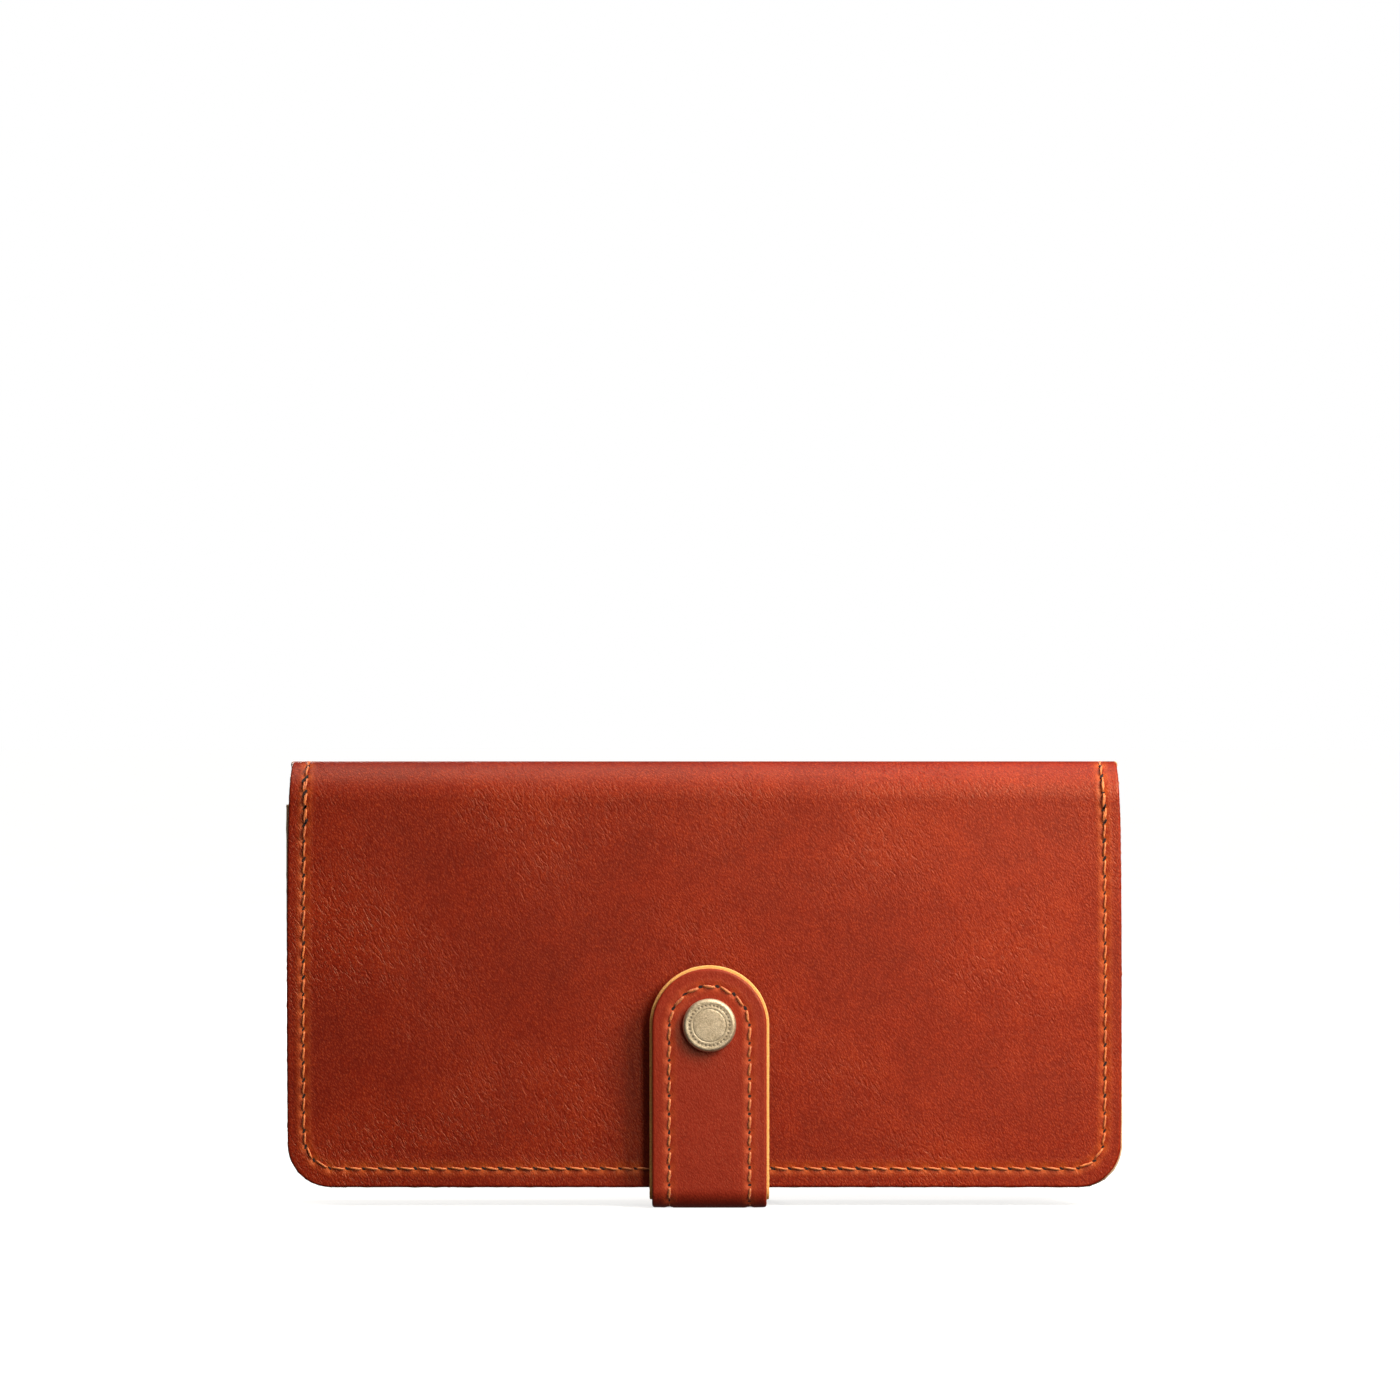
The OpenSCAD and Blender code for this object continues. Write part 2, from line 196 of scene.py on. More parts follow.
def grain_leather(name, dark, mid, light, highlight_and_stretch_tone, crease=1.0, roughness=0.37, grain=1.0, painted_left_shade=None):
    """Pull-up leather: cloudy colour, a fine slanted pebble with painted shade in its hollows and painted
    highlight on its crests, painted shade in its wrinkles, and a brighter tone round the seam where it
    is stretched, partly painted highlight. Optionally painted shade darkens its left side.
    """
    s = Surface(name, roughness, gloss=LEATHER_GLOSS)
    s.shader.inputs["Specular Tint"].default_value = WAX_TINT
    flat = s.coords()
    clouds = s.noise(flat, 0.028, 3.0, 0.50)
    mottle = s.noise(flat, 0.16, 3.0, 0.6)
    tone = s.mix(0.35, clouds, mottle)
    colour = s.ramp(tone, [(0.30, dark), (0.50, mid), (0.72, light)])
    if painted_left_shade:
        # Painted shade: the hide is darkened towards its left side, standing in for the weaker light there.
        from_middle = s.node("SeparateXYZ", Vector=flat).outputs[0]
        across = s.math("ADD", s.math("MULTIPLY", from_middle, 1 / LEFT_SHADE_SPAN), 0.5)
        colour = s.mix(1.0, colour, s.ramp(across, [(0.22, painted_left_shade), (0.80, WHITE)]), "MULTIPLY")
    cells = s.node("TexVoronoi", Vector=s.coords(stretch=(2.5, 1.45, 1), turn=PEBBLE_LEAN), Scale=1.0)
    pebbles = cells.outputs["Distance"]
    fine = s.noise(s.coords(stretch=(3.2, 1.7, 1), turn=PEBBLE_LEAN), 1.0, 2.0, 0.6, 0.5)
    skin = s.math("SUBTRACT", s.math("MULTIPLY", fine, 0.9), s.math("MULTIPLY", pebbles, 0.55))
    wrinkle = s.noise(s.coords(stretch=(1.25, 0.42, 1), turn=PEBBLE_LEAN), 1.0, 2.0, 0.5, 0.9)
    zone = s.ramp(s.noise(flat, 0.030, 2.0), [(0.42, 0.0), (0.62, 1.0)])
    creases = s.math("MULTIPLY", s.ramp(wrinkle, [(0.36, 1.0), (0.47, 0.0)]), zone)
    # Painted shade: the pebbles' hollows are darkened.
    shade = s.ramp(skin, [(0.0, (212, 158, 138)), (0.20, (238, 222, 214)), (0.42, WHITE)])
    colour = s.mix(grain, colour, shade, "MULTIPLY")
    # Painted highlight: the pebbles' crests take the paler tone.
    crests = s.ramp(skin, [(0.22, 0.0), (0.50, 0.20 * grain)])
    colour = s.mix(crests, colour, highlight_and_stretch_tone)
    # Painted shade: the wrinkles are darkened.
    colour = s.mix(s.math("MULTIPLY", creases, 0.42 * crease), colour, dark)
    # A paler tone round the seam's holes and on the ridge beside it: partly stretched leather, partly painted
    # highlight.
    colour = s.mix(s.math("MULTIPLY", s.attribute("stretch_and_highlight"), 0.75), colour, highlight_and_stretch_tone)
    s.bump(skin, 0.13 * grain, 0.85)
    s.bump(creases, -0.10 * crease, 0.7)
    s.bump(mottle, 0.35, 0.10)
    rough = s.ramp(s.mix(0.5, fine, clouds), [(0.3, roughness + 0.10), (0.7, roughness - 0.05)])
    return s.finish(colour, rough)


def raw_edge(name, pale, deep, fibre=1.0):
    """The cut edge of leather: matt, fibrous and paler than the grain."""
    s = Surface(name, 0.82)
    along = s.noise(s.coords(stretch=(0.9, 6.0, 1)), 1.0, 3.0, 0.6)
    spots = s.noise(s.coords(), 2.2, 3.0, 0.65)
    colour = s.ramp(s.mix(0.5, along, spots), [(0.32, deep), (0.62, pale)])
    s.bump(along, 0.25 * fibre, 0.8)
    s.bump(spots, 0.18 * fibre, 0.6)
    return s.finish(colour)


def flesh_side(name, pale, deep):
    """The suede-like back of the leather."""
    s = Surface(name, 0.9, sheen=0.25)
    nap = s.noise(s.coords(), 3.2, 3.0, 0.7)
    clouds = s.noise(s.coords(), 0.08, 3.0, 0.6)
    colour = s.ramp(s.mix(0.45, nap, clouds), [(0.3, deep), (0.7, pale)])
    s.bump(nap, 0.16, 0.7)
    return s.finish(colour)


def thread_material(name, pale, deep):
    """Waxed twisted thread."""
    s = Surface(name, 0.52, sheen=0.15)
    place = s.coords("object")
    fibres = s.noise(place, 3.2, 2.0, 0.6)
    fading = s.noise(place, 0.22, 2.0)
    colour = s.ramp(s.mix(0.4, fibres, fading), [(0.32, deep), (0.60, pale)])
    s.bump(fibres, 0.06, 0.8)
    return s.finish(colour)


# Painted shade: dark slits stand in for the dark inside of each needle hole.
def hole_shade_material():
    s = Surface("needle_hole_shade", 0.9)
    depth = s.noise(s.coords("object"), 2.0, 1.0)
    return s.finish(s.ramp(depth, [(0.3, (20, 8, 5)), (0.7, (48, 17, 10))]))


def metal(name, bright, patina, roughness, speckle=1.0):
    """Antique metal: a fine stipple, with a darker patina in its hollows."""
    s = Surface(name, roughness, metallic=1.0)
    place = s.coords("object")
    stipple = s.noise(place, 3.6, 2.0, 0.6)
    clouds = s.noise(place, 0.55, 3.0, 0.6)
    colour = s.ramp(s.mix(0.45, stipple, clouds), [(0.34, patina), (0.62, bright)])
    colour = s.mix(s.math("MULTIPLY", s.attribute("patina"), 0.8), colour, (58, 44, 30))
    s.bump(stipple, 0.05 * speckle, 0.7)
    rough = s.ramp(clouds, [(0.3, roughness + 0.08), (0.7, roughness - 0.06)])
    return s.finish(colour, rough)


def woven_tape(name):
    """The zip's woven tape: a herringbone of fine ribs."""
    s = Surface(name, 0.85, sheen=0.3)
    ribs = [
        s.node("TexWave", Vector=s.coords(turn=math.radians(turn)), Scale=0.9, Distortion=0.6)
        for turn in (45, -45)
    ]
    weave = s.mix(0.5, ribs[0].outputs["Fac"], ribs[1].outputs["Fac"])
    fuzz = s.noise(s.coords(), 2.5, 3.0, 0.7)
    colour = s.ramp(s.mix(0.35, weave, fuzz), [(0.3, (38, 20, 13)), (0.7, (84, 50, 33))])
    s.bump(weave, 0.12, 0.8)
    return s.finish(colour)


def floor_material():
    """A pale board lit from below, as product tables are, so that shadows on it stay faint."""
    s = Surface("studio_floor", 0.75)
    s.shader.inputs["Emission Color"].default_value = (1.0, 0.995, 0.985, 1.0)
    s.shader.inputs["Emission Strength"].default_value = 0.76
    dust = s.noise(s.coords("object"), 0.02, 2.0)
    return s.finish(s.ramp(dust, [(0.3, 0.33), (0.7, 0.35)]))


# Its last colour is painted shade, darkening the hide towards its left side.
HIDE = grain_leather(
    "pull_up_leather", (128, 26, 10), (144, 35, 14), (164, 50, 20), (214, 100, 42), grain=0.8,
    painted_left_shade=(232, 222, 214),
)
STRAP_HIDE = grain_leather(
    "strap_leather", (135, 36, 21), (146, 43, 26), (157, 51, 32), (204, 88, 46), crease=0.3, grain=0.5,
)
INNER_HIDE = grain_leather(
    "natural_leather", (146, 74, 36), (160, 86, 45), (174, 100, 56), (198, 130, 80), crease=0.4,
    roughness=0.55,
)
EDGE = raw_edge("raw_edge", (206, 158, 110), (150, 84, 46))
STRAP_EDGE = raw_edge("strap_raw_edge", (238, 182, 102), (204, 130, 60), 0.5)
INNER_EDGE = raw_edge("inner_raw_edge", (214, 184, 146), (140, 108, 74))
FLESH = flesh_side("flesh_side", (224, 188, 146), (176, 132, 92))
THREAD = thread_material("orange_thread", (218, 118, 50), (158, 70, 26))
STRAP_THREAD = thread_material("strap_thread", (206, 116, 56), (150, 72, 30))
HOLE_SHADE = hole_shade_material()
CAP_METAL = metal("antique_brass", (232, 212, 178), (168, 148, 118), 0.56)
SNAP_METAL = metal("snap_brass", (196, 172, 130), (120, 100, 70), 0.34, 0.4)
ZIP_METAL = metal("zip_brass", (238, 208, 148), (176, 142, 90), 0.42, 0.3)
TAPE = woven_tape("zip_tape")

# ---- leather sheets


def smooth(t):
    t = np.clip(t, 0, 1)
    return t * t * (3 - 2 * t)


def bell(distance, width):
    """1 at no distance, fading to nothing over about twice the width."""
    return np.exp(-((distance / width) ** 2))


def add_object(name, data, materials=()):
    """Brings a mesh, a lamp or the camera into the scene."""
    for item in materials:
        data.materials.append(item)
    obj = bpy.data.objects.new(name, data)
    bpy.context.scene.collection.objects.link(obj)
    return obj


def face_outward(mesh):
    """Turns the faces of a closed mesh outward."""
    built = bmesh.new()
    built.from_mesh(mesh)
    bmesh.ops.recalc_face_normals(built, faces=built.faces)
    built.to_mesh(mesh)
    built.free()


def bend_line(start, heading, runs):
    """A line in the YZ plane: straight runs (length, 0) and clockwise arcs (length, radius).
    Gives a function from flat distance to y, z and the outward normal, on the line's left."""

    def at(v):
        v = np.asarray(v, float)
        y0, z0, h0 = start[0], start[1], heading
        done = 0.0
        out = np.zeros((4,) + v.shape)
        for i, (length, radius) in enumerate(runs):
            s = v - done
            if radius:
                h = h0 - s / radius
                y = y0 + radius * (math.sin(h0) - np.sin(h))
                z = z0 + radius * (np.cos(h) - math.cos(h0))
            else:
                h = np.full(v.shape, h0)
                y = y0 + s * math.cos(h0)
                z = z0 + s * math.sin(h0)
            here = (s >= 0) | (i == 0)
            for row, value in enumerate((y, z, -np.sin(h), np.cos(h))):
                out[row] = np.where(here, value, out[row])
            done += length
            if radius:
                h1 = h0 - length / radius
                y0 += radius * (math.sin(h0) - math.sin(h1))
                z0 += radius * (math.cos(h1) - math.cos(h0))
                h0 = h1
            else:
                y0 += length * math.cos(h0)
                z0 += length * math.sin(h0)
        return out

    return at


def laid_along(line, mirror=False):
    """place(x, v, off) for a sheet that follows a bend line; mirror puts it behind the wallet."""

    def place(x, v, off):
        y, z, ny, nz = line(v)
        y, z = y + ny * off, z + nz * off
        return np.stack([x + 0 * y, -y if mirror else y, z + 0 * x], -1)

    return place


def laid_flat(face, side):
    """place(x, v, off) for an upright sheet whose visible face is at y = face(x, v), facing side * Y."""

    def place(x, v, off):
        return np.stack([x + 0 * v, face(x, v) + side * off, BODY_Z + v + 0 * x], -1)

    return place


def steps(low, high, coarse, fine=None, zones=()):
    """Numbers from low to high, closer together inside the zones."""
    out = [low]
    while out[-1] < high - 1e-9:
        here = out[-1] + 1e-9
        gap = fine if any(a <= here < b for a, b in zones) else coarse
        stops = [a for a, b in zones if a > here] + [b for a, b in zones if b > here] + [high]
        out.append(min(here + gap, min(stops)))
    return np.array(out)


EDGE_STEPS = np.array([0.0, 0.05, 0.12, 0.24, 0.42, 0.7]) * MM  # places across a rounded edge
RIM_SHARES = (0.33, 0.67)  # the cut edge's own two rows, between face and back
BACK_ROUNDING = 0.8  # the back's edges are rounded a little less
BACK_UV = (0.4, 0)  # keeps the back clear of the face in the flat map


def columns(half_w, coarse, fine, zone):
    """Column places across a sheet, closer near both sides, with the edge's own rounding steps."""
    edge, last = EDGE_STEPS[:-1], EDGE_STEPS[-1]
    zones = [(-half_w, -half_w + zone), (half_w - zone, half_w)]
    inner = steps(-half_w + last, half_w - last, coarse, fine, zones)
    return np.concatenate([-half_w + edge, inner, half_w - edge[::-1]])


def corner_rows(radius):
    """Row places through a rounded corner, closest at the cut edge."""
    angles = np.radians(np.arange(0, 90.1, 4.5))
    return radius * (1 - np.cos(angles))


def edge_distance(x, v, half_w, radius):
    """Distance from a leaf's outline: its sides, its lower edge and its lower corners."""
    ax = np.abs(x)
    distance = np.minimum(half_w - ax, v)
    corner = (ax > half_w - radius) & (v < radius)
    return np.where(corner, radius - np.hypot(ax - (half_w - radius), radius - v), distance)


def leaf_grid(xs, vs, half_w, radius, width_at):
    """Flat places of the grid's points, drawn in to the outline's rounded lower corners, and
    each point's distance from the cut edge."""
    x, v = np.meshgrid(xs, vs, indexing="ij")
    in_corner = np.clip(radius - v, 0, radius)
    drawn_in = radius - np.sqrt(np.maximum(radius ** 2 - in_corner ** 2, 0))
    keep = half_w - radius - 4 * MM
    w = width_at(v) - drawn_in
    ax = np.abs(x)
    x = np.where(ax > keep, np.sign(x) * (keep + (ax - keep) * (w - keep) / (half_w - keep)), x)
    return x, v, np.maximum(edge_distance(x, v, width_at(v), radius), 0)


def rounding(distance, radius):
    """How far the face has dropped at this distance from the cut edge."""
    d = np.clip(radius - distance, 0, radius)
    return radius - np.sqrt(radius ** 2 - d ** 2)


def drift(x, v, size, amount, seed):
    """Slow unevenness, made of a few waves."""
    r = np.random.default_rng(seed)
    total = 0 * x
    for _ in range(7):
        angle = r.uniform(0, math.pi)
        length = size * r.uniform(0.6, 1.7)
        phase = r.uniform(0, 2 * math.pi)
        total = total + np.sin((x * math.cos(angle) + v * math.sin(angle)) * 2 * math.pi / length + phase)
    return total / 7 * amount


def solid_sheet(name, x, v, place, thickness, materials, drop=0.0, relief=0.0, stretch_and_highlight=None, kept=None,
                flip=False, fuzz=0.05 * MM, uv_from=None):
    """A closed sheet: a face, a back and a cut edge between them. x and v are the flat places of
    its grid. relief lifts the face, drop rounds its edges, fuzz roughens the cut, kept leaves
    cells out, and the lightening map says how much the face is paled round the seam: partly
    stretched leather, partly painted highlight. flip is for a mirrored place."""
    n, m = x.shape
    face_points = place(x, v, relief - drop)
    back_points = place(x, v, -thickness + BACK_ROUNDING * drop)
    kept = np.ones((n - 1, m - 1), bool) if kept is None else kept
    number = np.arange(n * m).reshape(n, m)
    used = np.zeros((n, m), bool)
    for a in (0, 1):
        for b in (0, 1):
            used[a:n - 1 + a, b:m - 1 + b] |= kept
    order = np.full(n * m, -1)
    order[used.ravel()] = np.arange(used.sum())
    count = int(used.sum())
    face_flat = face_points.reshape(-1, 3)[used.ravel()]
    back_flat = back_points.reshape(-1, 3)[used.ravel()]
    u_flat = np.stack([x, v if uv_from is None else uv_from(v)], -1).reshape(-1, 2)[used.ravel()]
    i, j = np.nonzero(kept)
    quads = order[np.stack([number[i, j], number[i + 1, j], number[i + 1, j + 1], number[i, j + 1]], 1)]

    # Edges that only one kept cell has are where the sheet was cut.
    pairs = np.concatenate([quads[:, [k, (k + 1) % 4]] for k in range(4)])
    seen = {tuple(p) for p in pairs.tolist()}
    cut = [p for p in pairs.tolist() if (p[1], p[0]) not in seen]
    outward = np.zeros((count, 3))
    for a, b in cut:
        along = face_flat[b] - face_flat[a]
        outward[a] += np.cross(along, face_flat[a] - back_flat[a])
        outward[b] += np.cross(along, face_flat[b] - back_flat[b])
    if flip:
        outward = -outward
    rim = sorted({a for a, _ in cut})
    length = np.linalg.norm(outward[rim], axis=1)
    outward[rim] /= np.maximum(length, 1e-12)[:, None]
    middle = {a: 2 * count + 2 * k for k, a in enumerate(rim)}
    rows = []
    for a in rim:
        for share in RIM_SHARES:
            push = rng.normal(0.35, 0.8) * fuzz
            rows.append(face_flat[a] * (1 - share) + back_flat[a] * share + outward[a] * push)
    points = np.concatenate([face_flat, back_flat, np.array(rows)])

    faces = [quads, quads[:, ::-1] + count]
    uvs = [u_flat[quads], u_flat[quads[:, ::-1]] + BACK_UV]
    which = [np.zeros(len(quads), int), np.full(len(quads), 2)]
    sides, side_uvs = [], []
    for a, b in cut:
        ladder_a = [a, middle[a], middle[a] + 1, a + count]
        ladder_b = [b, middle[b], middle[b] + 1, b + count]
        ua, ub = u_flat[a].sum(), u_flat[b].sum()
        for k in range(3):
            sides.append([ladder_b[k], ladder_a[k], ladder_a[k + 1], ladder_b[k + 1]])
            d0, d1 = thickness * k / 3, thickness * (k + 1) / 3
            side_uvs.append([(ub, d0), (ua, d0), (ua, d1), (ub, d1)])
    faces.append(np.array(sides))
    uvs.append(np.array(side_uvs))
    which.append(np.ones(len(sides), int))
    faces, uvs = np.concatenate(faces), np.concatenate(uvs)
    if flip:
        faces, uvs = faces[:, ::-1], uvs[:, ::-1]

    mesh = bpy.data.meshes.new(name)
    mesh.from_pydata(points.tolist(), [], faces.tolist())
    mesh.uv_layers.new(name="flat").data.foreach_set("uv", uvs.reshape(-1).astype(np.float32))
    mesh.polygons.foreach_set("material_index", np.concatenate(which).astype(np.int32))
    mesh.polygons.foreach_set("use_smooth", np.ones(len(faces), bool))
    attribute = mesh.attributes.new("stretch_and_highlight", "FLOAT", "POINT")
    values = np.zeros(len(points), np.float32)
    if stretch_and_highlight is not None:
        values[:count] = stretch_and_highlight.ravel()[used.ravel()]
    attribute.data.foreach_set("value", values)
    mesh.update()
    return add_object(name, mesh, materials)


# ---- seams


def along_path(points, pitch, jitter=0.0):
    """Needle holes a pitch apart on a line through these flat points."""
    points = np.array(points, float)
    reach = np.concatenate([[0], np.cumsum(np.linalg.norm(np.diff(points, axis=0), axis=1))])
    count = max(1, round(reach[-1] / pitch))
    at = np.linspace(0, reach[-1], count + 1)
    at[1:-1] += rng.normal(0, jitter, count - 1)
    return np.stack([np.interp(at, reach, points[:, k]) for k in range(2)], 1)


def arc_points(centre, radius, start, end, count=14):
    angles = np.radians(np.linspace(start, end, count))
    return [(centre[0] + radius * math.cos(a), centre[1] + radius * math.sin(a)) for a in angles]


def leaf_seam_path(top, side_at):
    """Down one side, round both lower corners and up the other, in flat places."""
    turn = SEAM_LOW + SEAM_R
    middle = side_at(0) - SEAM_R
    heights = np.linspace(top, turn, 40)
    left = [(-side_at(h), h) for h in heights]
    right = [(side_at(h), h) for h in heights[::-1]]
    corners = arc_points((-middle, turn), SEAM_R, 180, 270) + arc_points((middle, turn), SEAM_R, 270, 360)
    return left + corners + right


GROOVE_WIDTH = 0.75 * MM
DIP_WIDTH = 0.55 * MM
PALE_RING_WIDTH = 0.95 * MM  # how far the paler tone round each hole reaches: partly stretched leather, partly painted highlight
RIDGE_AT, RIDGE_WIDTH, RIDGE = 1.3 * MM, 0.55 * MM, 0.04 * MM
SEAM_REACH = 3 * MM


def seam_relief(x, v, holes, groove=0.14 * MM, dip=0.34 * MM):
    """The hollow that the seam pulls into the leather, and how much each point is paled: partly
    stretched leather, partly painted highlight on the puckers at the holes and the ridge beside the seam.
    """
    low, high = holes.min(0) - SEAM_REACH, holes.max(0) + SEAM_REACH
    flat_x, flat_v = x.ravel(), v.ravel()
    relief, stretch_and_highlight = np.zeros(flat_x.shape), np.zeros(flat_x.shape)
    near = (flat_x > low[0]) & (flat_x < high[0]) & (flat_v > low[1]) & (flat_v < high[1])
    index = np.nonzero(near)[0]
    middles = (holes[1:] + holes[:-1]) / 2
    quarter = [(holes[1:] * a + holes[:-1] * (1 - a)) for a in (0.25, 0.75)]
    line = np.concatenate([holes, middles, *quarter])
    for chunk in np.array_split(index, max(1, len(index) // 4000)):
        p = np.stack([flat_x[chunk], flat_v[chunk]], 1)
        to_line = np.min(np.linalg.norm(p[:, None] - line[None], axis=2), 1)
        to_hole = np.min(np.linalg.norm(p[:, None] - holes[None], axis=2), 1)
        ridge = bell(to_line - RIDGE_AT, RIDGE_WIDTH)
        relief[chunk] = (
            -groove * bell(to_line, GROOVE_WIDTH) - dip * bell(to_hole, DIP_WIDTH) + RIDGE * ridge
        )
        # The paler tone: partly stretched leather, partly painted highlight on the puckers and the ridge.
        stretch_and_highlight[chunk] = bell(to_hole, PALE_RING_WIDTH) + 0.15 * ridge
    return relief.reshape(x.shape), np.clip(stretch_and_highlight, 0, 1).reshape(x.shape)


SIDES, RINGS = 10, 9  # of one stitch's tube
STITCH_LEAN = 0.20 * MM
STITCH_DIVE = 0.55 * MM  # how deep its ends go in
PLY_TURN, PLY_RELIEF = 3.4, 0.13  # the thread's two plies, wound round each other
SLIT_LONG, SLIT_SHORT, SLIT_DEPTH = 0.50 * MM, 0.20 * MM, 0.45 * MM


def seam_object(name, runs, place, thread, width=0.56 * MM, height=0.10 * MM, turned=1.0, hole_size=1.0,
                hole_top=0.20 * MM, gap=0.28 * MM, cant=0.60, pressed=None, crest=None):
    """Stitches between neighbouring holes, and a dark slit at each hole: painted shade standing for
    the hole's dark inside. runs are lists of holes in flat places. Each stitch is a short twisted
    tube that dives in at its ends. Below pressed and past crest the stitches lie deeper."""
    points, faces, which = [], [], []

    def tube(rings, material):
        base = len(points)
        count, sides = rings.shape[:2]
        points.extend(rings.reshape(-1, 3).tolist())
        for i in range(count - 1):
            for k in range(sides):
                a, b = base + i * sides + k, base + i * sides + (k + 1) % sides
                faces.append((a, b, b + sides, a + sides))
                which.append(material)
        faces.append(tuple(base + k for k in range(sides))[::-1])
        faces.append(tuple(base + (count - 1) * sides + k for k in range(sides)))
        which.extend([material] * 2)

    def unit(rows):
        return rows / np.maximum(np.linalg.norm(rows, axis=1), 1e-12)[:, None]

    def frame_at(p, ahead, off):
        """The centre line's points and two unit directions across it."""
        centre = place(p[:, 0], p[:, 1], off)
        up = unit(place(p[:, 0], p[:, 1], off + 0.1 * MM) - centre)
        forward = unit(place(ahead[:, 0], ahead[:, 1], off) - centre)
        return centre, unit(np.cross(forward, up)), up

    angles = np.linspace(0, 2 * math.pi, SIDES, endpoint=False)
    t = np.linspace(-1, 1, RINGS)
    for holes in runs:
        for a, b in zip(holes[:-1], holes[1:]):
            along = b - a
            length = np.linalg.norm(along)
            along = along / length
            side = np.array([along[1], -along[0]]) * turned
            reach = 0.5 * length - gap
            slant = STITCH_LEAN * rng.uniform(0.75, 1.2)
            p = (a + b) / 2 + t[:, None] * reach * along + (np.sin(t * 1.2) * slant)[:, None] * side
            off = height - STITCH_DIVE * np.abs(t) ** 5
            if pressed:
                off = off - 0.34 * MM * smooth((pressed - p[:, 1]) / (2 * MM))
            if crest:
                off = off - 0.24 * MM * smooth((p[:, 1] - crest) / (3 * MM))
            centre, across, up = frame_at(p, p + along * 0.05 * MM, off)
            radius = width / 2 * (1 - 0.30 * np.abs(t) ** 3) * rng.uniform(0.92, 1.08)
            twist = 2 * (angles[None] - t[:, None] * PLY_TURN)
            r = radius[:, None] * (1 + PLY_RELIEF * np.cos(twist))
            spread = (np.cos(angles)[None, :, None] * across[:, None]
                      + np.sin(angles)[None, :, None] * up[:, None])
            tube(centre[:, None] + r[..., None] * spread, 0)
        for k, hole in enumerate(holes):
            before, after = holes[max(k - 1, 0)], holes[min(k + 1, len(holes) - 1)]
            along = (after - before) / np.linalg.norm(after - before)
            side = np.array([along[1], -along[0]]) * turned
            long_way = along * math.sqrt(1 - cant ** 2) + side * cant
            short_way = np.array([long_way[1], -long_way[0]])
            size = hole_size * rng.uniform(0.8, 1.2)
            lengthways = SLIT_LONG * np.cos(angles)[:, None] * long_way
            sideways = SLIT_SHORT * np.sin(angles)[:, None] * short_way
            rim = hole + size * (lengthways + sideways)
            depths = (-hole_top, -hole_top - SLIT_DEPTH)
            tube(np.stack([place(rim[:, 0], rim[:, 1], np.full(SIDES, off)) for off in depths]), 1)

    mesh = bpy.data.meshes.new(name)
    mesh.from_pydata(points, [], faces)
    mesh.polygons.foreach_set("material_index", np.array(which, np.int32))
    mesh.polygons.foreach_set("use_smooth", np.array([w == 0 for w in which]))
    obj = add_object(name, mesh, [thread, HOLE_SHADE])
    face_outward(mesh)
    return obj


# ---- the outer hide

COVER_LINE = bend_line((-HALF_T, BODY_Z), math.pi / 2, [(STRAIGHT, 0), (APEX, HALF_T)])
FRONT_PLACE = laid_along(COVER_LINE)
BACK_PLACE = laid_along(COVER_LINE, mirror=True)


def cover_width(middle):
    """Half the hide's width: a little fuller halfway up, and drawn in over the spine."""

    def at(v):
        belly = 0.3 * MM * np.sin(np.clip(v / STRAIGHT, 0, 1) * math.pi)
        return middle + belly - 0.5 * MM * smooth((v - 0.9 * STRAIGHT) / (APEX - 0.9 * STRAIGHT))

    return at


FRONT_WIDTH = cover_width(HALF_W - 0.15 * MM)
BACK_WIDTH = cover_width(HALF_W + 0.15 * MM)
FINE = 14 * MM  # the band round the edges with a fine grid
ROLL = 0.5 * MM  # the cover starts to lean in well below the spine
ROLL_FROM, ROLL_RUN = 64 * MM, 32 * MM
ROLL_BACK_FROM, ROLL_BACK_RUN = 98 * MM, 7 * MM
TUCK = 0.012 * MM  # past the spine's top a half dips under the other one


def hide_half(name, place, width_at, seed, flip):
    """One cover and its half of the spine, with the hollows of the seam round its edges."""
    xs = columns(HALF_W, 1.0 * MM, 0.42 * MM, FINE)
    low = np.concatenate([corner_rows(CORNER_R), steps(CORNER_R, FINE, 0.42 * MM)[1:]])
    vs = np.concatenate([low, steps(FINE, APEX + LAP, 0.75 * MM)[1:]])
    x, v, distance = leaf_grid(xs, vs, HALF_W, CORNER_R, width_at)
    holes = along_path(leaf_seam_path(APEX, lambda h: width_at(h) - SEAM_SIDE), PITCH, 0.17 * MM)
    hollow, stretch_and_highlight = seam_relief(x, v, holes)
    relief = hollow + drift(x, v, 42 * MM, 0.16 * MM, seed) * smooth(distance / (6 * MM))
    rolled = smooth((v - ROLL_FROM) / ROLL_RUN) * (1 - smooth((v - ROLL_BACK_FROM) / ROLL_BACK_RUN))
    relief = relief - ROLL * rolled
    relief = relief * (1 - smooth((v - APEX + 4 * MM) / (4 * MM))) - TUCK * smooth((v - APEX) / LAP)
    obj = solid_sheet(
        name, x, v, place, COVER_T, [HIDE, EDGE, FLESH],
        drop=rounding(distance, 0.5 * MM), relief=relief, stretch_and_highlight=stretch_and_highlight, flip=flip, fuzz=0.07 * MM,
        uv_from=(lambda h: 2 * APEX - h) if flip else None,
    )
    return obj, holes


front_hide, front_holes = hide_half("front_hide", FRONT_PLACE, FRONT_WIDTH, 3, False)
back_hide, back_holes = hide_half("back_hide", BACK_PLACE, BACK_WIDTH, 4, True)


def back_tacks(width_at, low, high):
    """The seam is sewn over twice where its thread was finished off, a hair beside the first pass."""
    runs = []
    for side in (-1, 1):
        at = side * (width_at(low) - SEAM_SIDE)
        runs.append(along_path([(at + 0.42 * MM, low), (at - 0.30 * MM, high)], 3.1 * MM, 0.25 * MM))
    return runs


